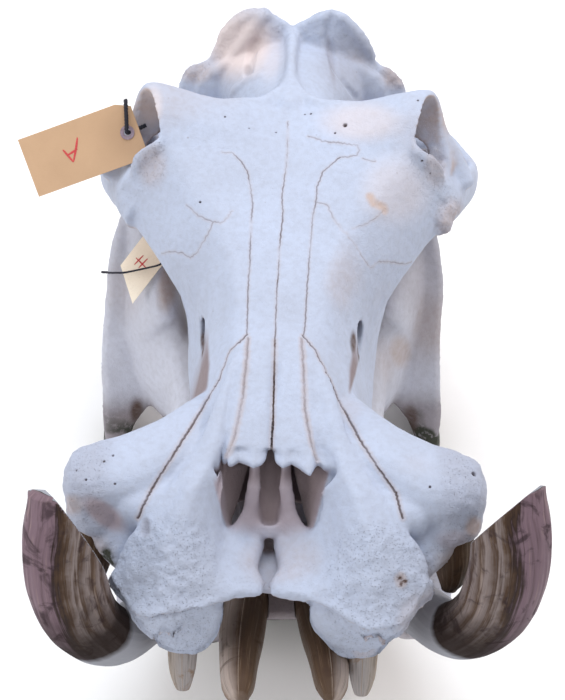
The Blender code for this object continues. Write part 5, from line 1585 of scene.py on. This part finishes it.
def twisted(name, route, half, pitch, place):
    """Strands wound round a route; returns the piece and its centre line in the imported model's frame."""
    line = [Vector(p) for p in smooth_line(route, (len(route) - 1) * 12 + 1)]
    lengths = np.cumsum([0.0] + [(b - a).length for a, b in zip(line, line[1:])])
    bm = bmesh.new()
    for strand in range(STRANDS):
        rings = []
        for k, point in enumerate(line):
            along = (line[min(k + 1, len(line) - 1)] - line[max(k - 1, 0)]).normalized()
            across = along.cross(Vector((0.3, 0.9, 0.31))).normalized()
            lift = across.cross(along)
            turn = 2 * math.pi * (lengths[k] / pitch + strand / STRANDS)
            centre = point + (across * math.cos(turn) + lift * math.sin(turn)) * half * STRAND_OUT
            rings.append([centre + (across * math.cos(a) + lift * math.sin(a)) * half * STRAND_HALF
                          for a in (2 * math.pi * i / 10 for i in range(10))])
        made = skin(name, rings)
        bm.from_mesh(made.data)
        bpy.data.objects.remove(made)
    mesh = mesh_of(name, bm)
    mesh.transform(place)
    mesh.shade_smooth()
    return linked(name, mesh), [place @ (p * MM) for p in line], float(lengths[-1]) * MM


tag_route = [(a, -f, c) for a, f, c in CORD]
tag_cord, tag_line, tag_cord_length = twisted("tag_cord_yarn", tag_route, CORD_HALF, 9.0, tag_place)
small_string, string_line, string_length = twisted("small_tag_string_yarn", STRING, STRING_HALF, 5.0,
                                                   SKULL_PLACE)
print("cord", round(tag_cord_length, 3), "m, string", round(string_length, 3), "m")

# %% [markdown]
# ## Materials as sums
# A material here is a small calculation: colour from noise, dirt from the marks, roughness from both.
# Wiring many Math nodes by hand hides the idea, so one class wraps a socket and lets ordinary sums add
# those nodes, and a second makes a material and adds any other node in one call.

# %% A small language for materials
class Value:
    """A number socket that adds a Math node for each sum it is used in."""

    def __init__(self, tree, socket):
        self.tree, self.socket = tree, socket

    def sum(self, operation, *others, clamp=False):
        node = self.tree.nodes.new("ShaderNodeMath")
        node.operation = operation
        node.use_clamp = clamp
        for place, value in zip(node.inputs, others):
            if isinstance(value, Value):
                self.tree.links.new(value.socket, place)
            else:
                place.default_value = value
        return Value(self.tree, node.outputs[0])

    def __add__(self, other):
        return self.sum("ADD", self, other)

    def __sub__(self, other):
        return self.sum("SUBTRACT", self, other)

    def __rsub__(self, other):
        return self.sum("SUBTRACT", other, self)

    def __mul__(self, other):
        return self.sum("MULTIPLY", self, other)

    def held(self):
        return self.sum("ADD", self, 0.0, clamp=True)

    def rise(self, low, high):
        """0 below low and 1 above high."""
        return self.sum("MULTIPLY_ADD", self, 1 / (high - low), -low / (high - low), clamp=True)

    __radd__, __rmul__ = __add__, __mul__


class Finish:
    """One material: its shader, and short ways to add what feeds it."""

    def __init__(self, name, roughness, coat=0.0, shine=0.35):
        self.material = bpy.data.materials.new(name)
        self.material.use_nodes = True
        self.tree = self.material.node_tree
        self.shader = self.tree.nodes["Principled BSDF"]
        self.shader.inputs["Roughness"].default_value = roughness
        self.shader.inputs["Coat Weight"].default_value = coat
        self.shader.inputs["Coat Roughness"].default_value = 0.25
        self.shader.inputs["Specular IOR Level"].default_value = shine
        self.place = self.node("ShaderNodeTexCoord", out="Object")

    def node(self, kind, settings=None, sockets=None, out=0, stops=None):
        made = self.tree.nodes.new(kind)
        for name, value in (settings or {}).items():
            setattr(made, name, value)
        if stops:
            ramp = made.color_ramp.elements
            while len(ramp) < len(stops):
                ramp.new(1.0)
            for element, (position, colour) in zip(ramp, stops):
                element.position, element.color = position, (*colour, 1)
        for name, value in (sockets or {}).items():
            if isinstance(value, Value):
                self.tree.links.new(value.socket, made.inputs[name])
            else:
                made.inputs[name].default_value = value
        return Value(self.tree, made.outputs[out])

    def noise(self, scale, detail=3.0, stretch=None, distort=0.0, where=None):
        """Noise between 0 and 1 whose lumps are about 1 / scale metres across."""
        place = where or self.place
        if stretch:
            place = self.node("ShaderNodeVectorMath", {"operation": "MULTIPLY"}, {0: place, 1: stretch})
        return self.node("ShaderNodeTexNoise", {}, {"Vector": place, "Scale": scale, "Detail": detail,
                                                    "Roughness": 0.6, "Distortion": distort}, "Fac")

    def cells(self, scale):
        return self.node("ShaderNodeTexVoronoi", {}, {"Vector": self.place, "Scale": scale}, "Distance")

    def mark(self, name):
        return self.node("ShaderNodeAttribute", {"attribute_name": name}, out="Fac")

    def mix(self, share, first, second):
        def colour(value):
            return value if isinstance(value, Value) else (*value, 1)
        return self.node("ShaderNodeMix", {"data_type": "RGBA"},
                         {0: share, 6: colour(first), 7: colour(second)}, 2)

    def ramp(self, value, stops):
        return self.node("ShaderNodeValToRGB", {}, {"Fac": value}, "Color", stops)

    def wear(self, colour, roughness=None, height=None, depth=1.0, reach=0.001):
        """Feeds the shader: a colour, and roughness and a bump height where they vary."""
        self.tree.links.new(colour.socket, self.shader.inputs["Base Color"])
        if roughness is not None:
            self.tree.links.new(roughness.socket, self.shader.inputs["Roughness"])
        if height is not None:
            bump = self.node("ShaderNodeBump", {}, {"Strength": depth, "Distance": reach, "Height": height},
                             "Normal")
            self.tree.links.new(bump.socket, self.shader.inputs["Normal"])
        return self.material


print("a finish is made of marks, noise, mixes and one shader")

# %% [markdown]
# ## Weathered bone
# Old bone out of doors bleaches to white and keeps a pink or tan tint only in its hollows. The clean colours
# here lean blue: that blue is painted skylight, and the tan and mauve in the hollows is partly painted shade.
# Close up it is covered in pores under a millimetre wide, and in the rough parts those open into pits. Three
# scales of noise give that: clouds of tint, a fine mottle, and pores that also dent the surface through a
# bump.

# %% Bone finishes
# The darkest brown: dirt in seams and cracks, and painted shade in holes, in the canals under the eyes and
# round the jaw's notches.
DIRT_AND_SHADE = (0.075, 0.040, 0.028)


def bone(name, clean, warm, dull, moss):
    finish = Finish(name, 0.62)
    clouds = finish.noise(14, 4.0)
    mottle = finish.noise(160, 4.0)
    grain = finish.noise(900, 3.0)
    pores = finish.cells(520)
    porous = finish.mark("porous")
    stain = (finish.mark("stain") * (0.55 + 0.9 * mottle)).held()
    colour = finish.mix(clouds.rise(0.35, 0.7) * 0.35, clean, dull)
    colour = finish.mix(mottle.rise(0.42, 0.72) * 0.38, colour, dull)
    # Warm tan: real stains, and painted shade on faces turned down and inside the eye sockets.
    colour = finish.mix(stain * 0.85, colour, warm)
    pits = pores.rise(0.24, 0.08) * porous.rise(0.15, 0.8)
    speck = finish.cells(75).rise(0.075, 0.03) * finish.noise(30, 2.0).rise(0.55, 0.7)
    # Painted sunlight: a bright warm cream where the sun would fall on the brow and the neck's bowl.
    colour = finish.mix(finish.mark("cream") * 0.85, colour, (0.66, 0.56, 0.54))
    # A mauve tint that paints the shade inside the nostrils and under the canine wings.
    colour = finish.mix(finish.mark("rosy") * 0.75, colour, (0.36, 0.28, 0.30))
    colour = finish.mix((pits * 0.42 + speck * 0.6).held(), colour, (0.20, 0.16, 0.15))
    # Painted shade: a dark grey-brown in hollows, grooves and on sides that face away from the lamps.
    colour = finish.mix(finish.mark("shade") * 0.75, colour, (0.17, 0.125, 0.125))
    colour = finish.mix((finish.mark("moss") * mottle.rise(0.3, 0.5) * 1.4).held(), colour, moss)
    # Dark brown: dirt in seams and cracks, and painted shade in holes, canals and round the jaw's notches.
    grime = (finish.mark("grime") * (0.6 + 0.8 * mottle)).held()
    colour = finish.mix(grime, colour, DIRT_AND_SHADE)
    rough_now = (0.55 + 0.2 * mottle + 0.15 * porous).held()
    tooth_now = 0.5 * porous * (1 - pits) * finish.noise(380, 2.0)
    height = 0.45 * mottle + 0.22 * grain + tooth_now - 0.5 * pits
    return finish.wear(colour, rough_now, height, depth=0.8, reach=0.0022)


MOSS = (0.035, 0.040, 0.028)
# Both clean colours lean blue, which paints the cool skylight into the bone's colour.
bone_look = bone("weathered_bone", (0.435, 0.49, 0.625), (0.44, 0.31, 0.24), (0.34, 0.36, 0.43), MOSS)
jaw_look = bone("lower_jaw_bone", (0.53, 0.55, 0.64), (0.38, 0.28, 0.23), (0.38, 0.38, 0.43), MOSS)

# %% [markdown]
# ## Ivory
# The tusks are not white. Their outer faces have a purplish bloom with near-black stains, and their inner
# faces are banded brown and cream along their whole length. The bands follow the flutes, so their colours
# come from a ramp over the `around` mark, and noise stretched along the tooth lets them wander.

# %% Ivory finishes
def ivory(name, stops, base, tip, stain_colour, stain_from, band_scale=5.0, layer=0.3):
    """Bands round a tooth from a ramp, darker stains near its root, and other colours at its two ends."""
    finish = Finish(name, 0.4, shine=0.14)
    along, around = finish.mark("along"), finish.mark("around")
    clouds, fine = finish.noise(26, 4.0), finish.noise(210, 4.0)
    lines = finish.noise(1.0, 3.0, where=finish.node(
        "ShaderNodeCombineXYZ", {}, {"X": around * 70.0, "Y": along * band_scale, "Z": layer}))
    place = around + (clouds - 0.5) * 0.09 + (lines - 0.5) * 0.10
    colour = finish.ramp(place, stops)
    colour = finish.mix((lines.rise(0.5, 0.72) * 0.55).held(), colour, (0.045, 0.028, 0.024))
    colour = finish.mix((lines.rise(0.42, 0.25) * 0.30).held(), colour, (0.50, 0.38, 0.30))
    blots = finish.noise(38, 5.0, distort=1.2).rise(0.54, 0.66)
    colour = finish.mix((blots * 0.75).held(), colour, stain_colour)
    dark = (along + (clouds - 0.5) * 0.12).rise(stain_from + 0.16, stain_from + 0.04)
    colour = finish.mix(dark * 0.92, colour, (0.016, 0.009, 0.008))
    colour = finish.mix((along + (clouds - 0.5) * 0.03).rise(stain_from, stain_from - 0.02), colour, base)
    colour = finish.mix((along + (clouds - 0.5) * 0.12).rise(0.97, 1.05), colour, tip)
    return finish.wear(colour, (0.36 + 0.3 * fine + 0.2 * blots + 0.3 * dark).held(),
                       0.6 * lines + 0.25 * fine, 0.5, 0.001)


PURPLE, BROWN = (0.185, 0.125, 0.155), (0.070, 0.040, 0.024)
CREAM, UMBER = (0.235, 0.195, 0.19), (0.026, 0.015, 0.014)
TUSK_BANDS = [
    (0.00, CREAM), (0.08, BROWN), (0.30, CREAM), (0.42, PURPLE), (0.71, PURPLE), (0.735, UMBER),
    (0.755, BROWN), (0.785, CREAM), (0.81, BROWN), (0.85, CREAM), (0.88, BROWN), (0.93, CREAM),
    (0.96, BROWN), (1.00, CREAM)]
tusk_looks = [ivory(f"tusk_ivory_{tag}", TUSK_BANDS, (0.30, 0.31, 0.35), (0.20, 0.14, 0.15),
                    (0.030, 0.018, 0.022), edge)
              for tag, edge in (("left", 0.45), ("right", 0.41))]
peg_look = ivory("incisor_ivory", [
    (0.0, BROWN), (0.1, (0.34, 0.28, 0.25)), (0.2, (0.36, 0.30, 0.27)), (0.28, (0.20, 0.14, 0.10)),
    (0.5, (0.12, 0.08, 0.05)), (1.0, BROWN)], (0.20, 0.14, 0.11), (0.24, 0.19, 0.16), (0.060, 0.035, 0.025),
    0.05, 3.0, layer=2.7)
canine_look = ivory("upper_canine_ivory", [
    (0.0, BROWN), (0.25, (0.12, 0.085, 0.055)), (0.5, BROWN), (0.75, (0.16, 0.11, 0.08)), (1.0, BROWN)],
    (0.13, 0.09, 0.07), (0.10, 0.07, 0.05), (0.030, 0.020, 0.016), 0.05, 3.0)
pale_look = ivory("upper_incisor_ivory", [
    (0.0, (0.32, 0.30, 0.30)), (0.25, (0.30, 0.24, 0.18)), (0.4, (0.26, 0.15, 0.08)),
    (0.6, (0.36, 0.33, 0.33)), (1.0, (0.30, 0.28, 0.28))], (0.30, 0.27, 0.26), (0.25, 0.25, 0.30),
    (0.20, 0.11, 0.05), 0.05, 3.0)


def enamel(name):
    """Cheek teeth: ivory crowns with brown streaks and paler flecks."""
    finish = Finish(name, 0.35, coat=0.15)
    streaks = finish.noise(90, 4.0, stretch=(1.0, 1.0, 0.25))
    fine = finish.noise(500, 3.0)
    colour = finish.mix(streaks.rise(0.4, 0.7) * 0.8, (0.50, 0.43, 0.35), (0.15, 0.095, 0.06))
    colour = finish.mix(fine.rise(0.5, 0.8) * 0.35, colour, (0.60, 0.55, 0.48))
    return finish.wear(colour, (0.3 + 0.3 * fine).held(), 0.5 * streaks + 0.2 * fine, 0.4, 0.001)


enamel_look = enamel("cheek_enamel")

# %% [markdown]
# ## Paper, pencil, eyelet and yarn
# Manila card is pressed fibre: faint flecks, a soft tooth, and a darker brown towards the ring on the large
# card and towards the string's knot on the small one. The small card is coloured much lighter than the large
# one, which paints onto it the light it lacks where it lies tilted away from the lamps. The yarn is black
# with a slight fuzz, and the pencil skips over the paper's tooth.

# %% Tag finishes
def paper(name, middle, edge, darkest_at):
    finish = Finish(name, 0.8)
    fibres = finish.noise(420, 4.0, stretch=(1.0, 2.4, 1.0))
    clouds = finish.noise(22, 3.0)
    colour = finish.mix(clouds.rise(0.35, 0.7) * 0.5, middle, edge)
    colour = finish.mix(fibres.rise(0.55, 0.8) * 0.35, colour, (0.50, 0.34, 0.20))
    away = finish.node("ShaderNodeVectorMath", {"operation": "DISTANCE"}, {0: finish.place, 1: darkest_at},
                       "Value")
    colour = finish.mix((away + (clouds - 0.5) * 0.02).rise(0.042, 0.006) * 0.45, colour,
                        (0.40, 0.25, 0.15))
    return finish.wear(colour, (0.7 + 0.2 * fibres).held(), 0.6 * fibres + 0.4 * clouds, 0.35, 0.0006)


eyelet_at = tag_place @ (Vector((hole_x, 0, 0)) * MM)
card_look = paper("manila_card", (0.56, 0.37, 0.23), (0.48, 0.31, 0.19), tuple(eyelet_at))
knot_at = string_line[24]
# The small card's colours are far lighter than the large card's: painted light for a card that lies tilted
# away from the lamps.
small_card_lit_look = paper("small_manila_card_lit", (1.0, 0.90, 0.74), (0.98, 0.83, 0.66), tuple(knot_at))


def plain(name, first, second, scale, roughness, depth=0.3, coat=0.0):
    """A finish of two close colours, mottled, with a fine tooth."""
    finish = Finish(name, roughness, coat=coat)
    mottle = finish.noise(scale, 4.0)
    return finish.wear(finish.mix(mottle.rise(0.35, 0.65), first, second),
                       (roughness + 0.25 * (mottle - 0.5)).held(), mottle, depth, 0.0006)


pencil_look = plain("red_pencil", (0.52, 0.03, 0.05), (0.60, 0.10, 0.09), 900, 0.7)
eyelet_look = plain("eyelet_fibre", (0.22, 0.16, 0.21), (0.32, 0.25, 0.30), 300, 0.55, coat=0.1)
yarn_look = plain("black_yarn", (0.012, 0.012, 0.020), (0.040, 0.040, 0.055), 1600, 0.85, 0.8)
print("materials:", len(bpy.data.materials))

# %% [markdown]
# ## Each piece in its place
# Every piece rides on the imported model's one body and takes its finish, and a piece that stands for one of
# the model's nodes hides that node.

# %% Hand the pieces over
def stand_for(piece, look, node, slot):
    piece.data.materials.clear()
    piece.data.materials.append(look)
    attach(piece, "root")
    if node:
        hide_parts(node)


TOOTH_LOOKS = (("lower_canine_left", tusk_looks[0]), ("lower_canine_right", tusk_looks[1]),
               ("lower_incisor", peg_look), ("upper_canine", canine_look), ("upper_incisor", pale_look))
stand_for(cranium, bone_look, "cranium", "bone")
stand_for(jaw, jaw_look, "mandible", "jaw_bone")
stand_for(upper_row, enamel_look, None, "tooth")
stand_for(lower_row, enamel_look, None, "tooth")
for node, piece in teeth.items():
    look = next(look for start, look in TOOTH_LOOKS if node.startswith(start))
    stand_for(piece, look, node, "ivory" if look in tusk_looks else "tooth")
stand_for(big_card, card_look, "specimen_tag", "card")
stand_for(small_card, small_card_lit_look, "small_tag", "card")
stand_for(eyelet, eyelet_look, "tag_ring", "ring")
for piece in pencil:
    stand_for(piece, pencil_look, None, "card")
stand_for(tag_cord, yarn_look, "tag_cord", "string")
stand_for(small_string, yarn_look, "small_tag_string", "string")

# %% [markdown]
# ## Floor and light
# The skull stands on a plain pale floor in soft studio light. Most light comes from a wide white sky, a
# large lamp overhead shapes the roof of the skull, and a small warm one from behind on the right picks out
# the back crest.

# %% Floor, sky and lamps
def floor_plane():
    bm = bmesh.new()
    bmesh.ops.create_grid(bm, x_segments=4, y_segments=4, size=6.0)
    return linked("studio_floor", mesh_of("studio_floor", bm))


floor = floor_plane()
floor.data.materials.append(plain("pale_floor", (0.93, 0.93, 0.93), (0.95, 0.95, 0.95), 8, 0.9, 0.0))

world = bpy.data.worlds.new("soft_sky")
bpy.context.scene.world = world
world.use_nodes = True
world.node_tree.nodes["Background"].inputs["Color"].default_value = (1.0, 0.98, 0.97, 1)
world.node_tree.nodes["Background"].inputs["Strength"].default_value = 0.75


def lamp(name, place, aim, size, power, colour):
    light = bpy.data.lights.new(name, "AREA")
    light.shape = "DISK"
    light.size, light.energy, light.color = size, power, colour
    obj = linked(name, light)
    obj.location = place
    obj.rotation_mode = "QUATERNION"
    obj.rotation_quaternion = (Vector(aim) - Vector(place)).to_track_quat("-Z", "Y")


lamp("sky_lamp", (-0.1, 0.6, 2.6), aim=(0, 0, 0.2), size=1.8, power=40, colour=(0.88, 0.94, 1.0))
lamp("window_lamp", (-2.2, -0.9, 1.3), aim=(0, 0, 0.2), size=1.2, power=17, colour=(1.0, 0.98, 0.97))
lamp("warm_lamp", (1.5, 0.7, 1.9), aim=(-0.1, 0.33, 0.38), size=0.4, power=14, colour=(1.0, 0.88, 0.80))
bpy.context.scene.view_settings.view_transform = "Standard"
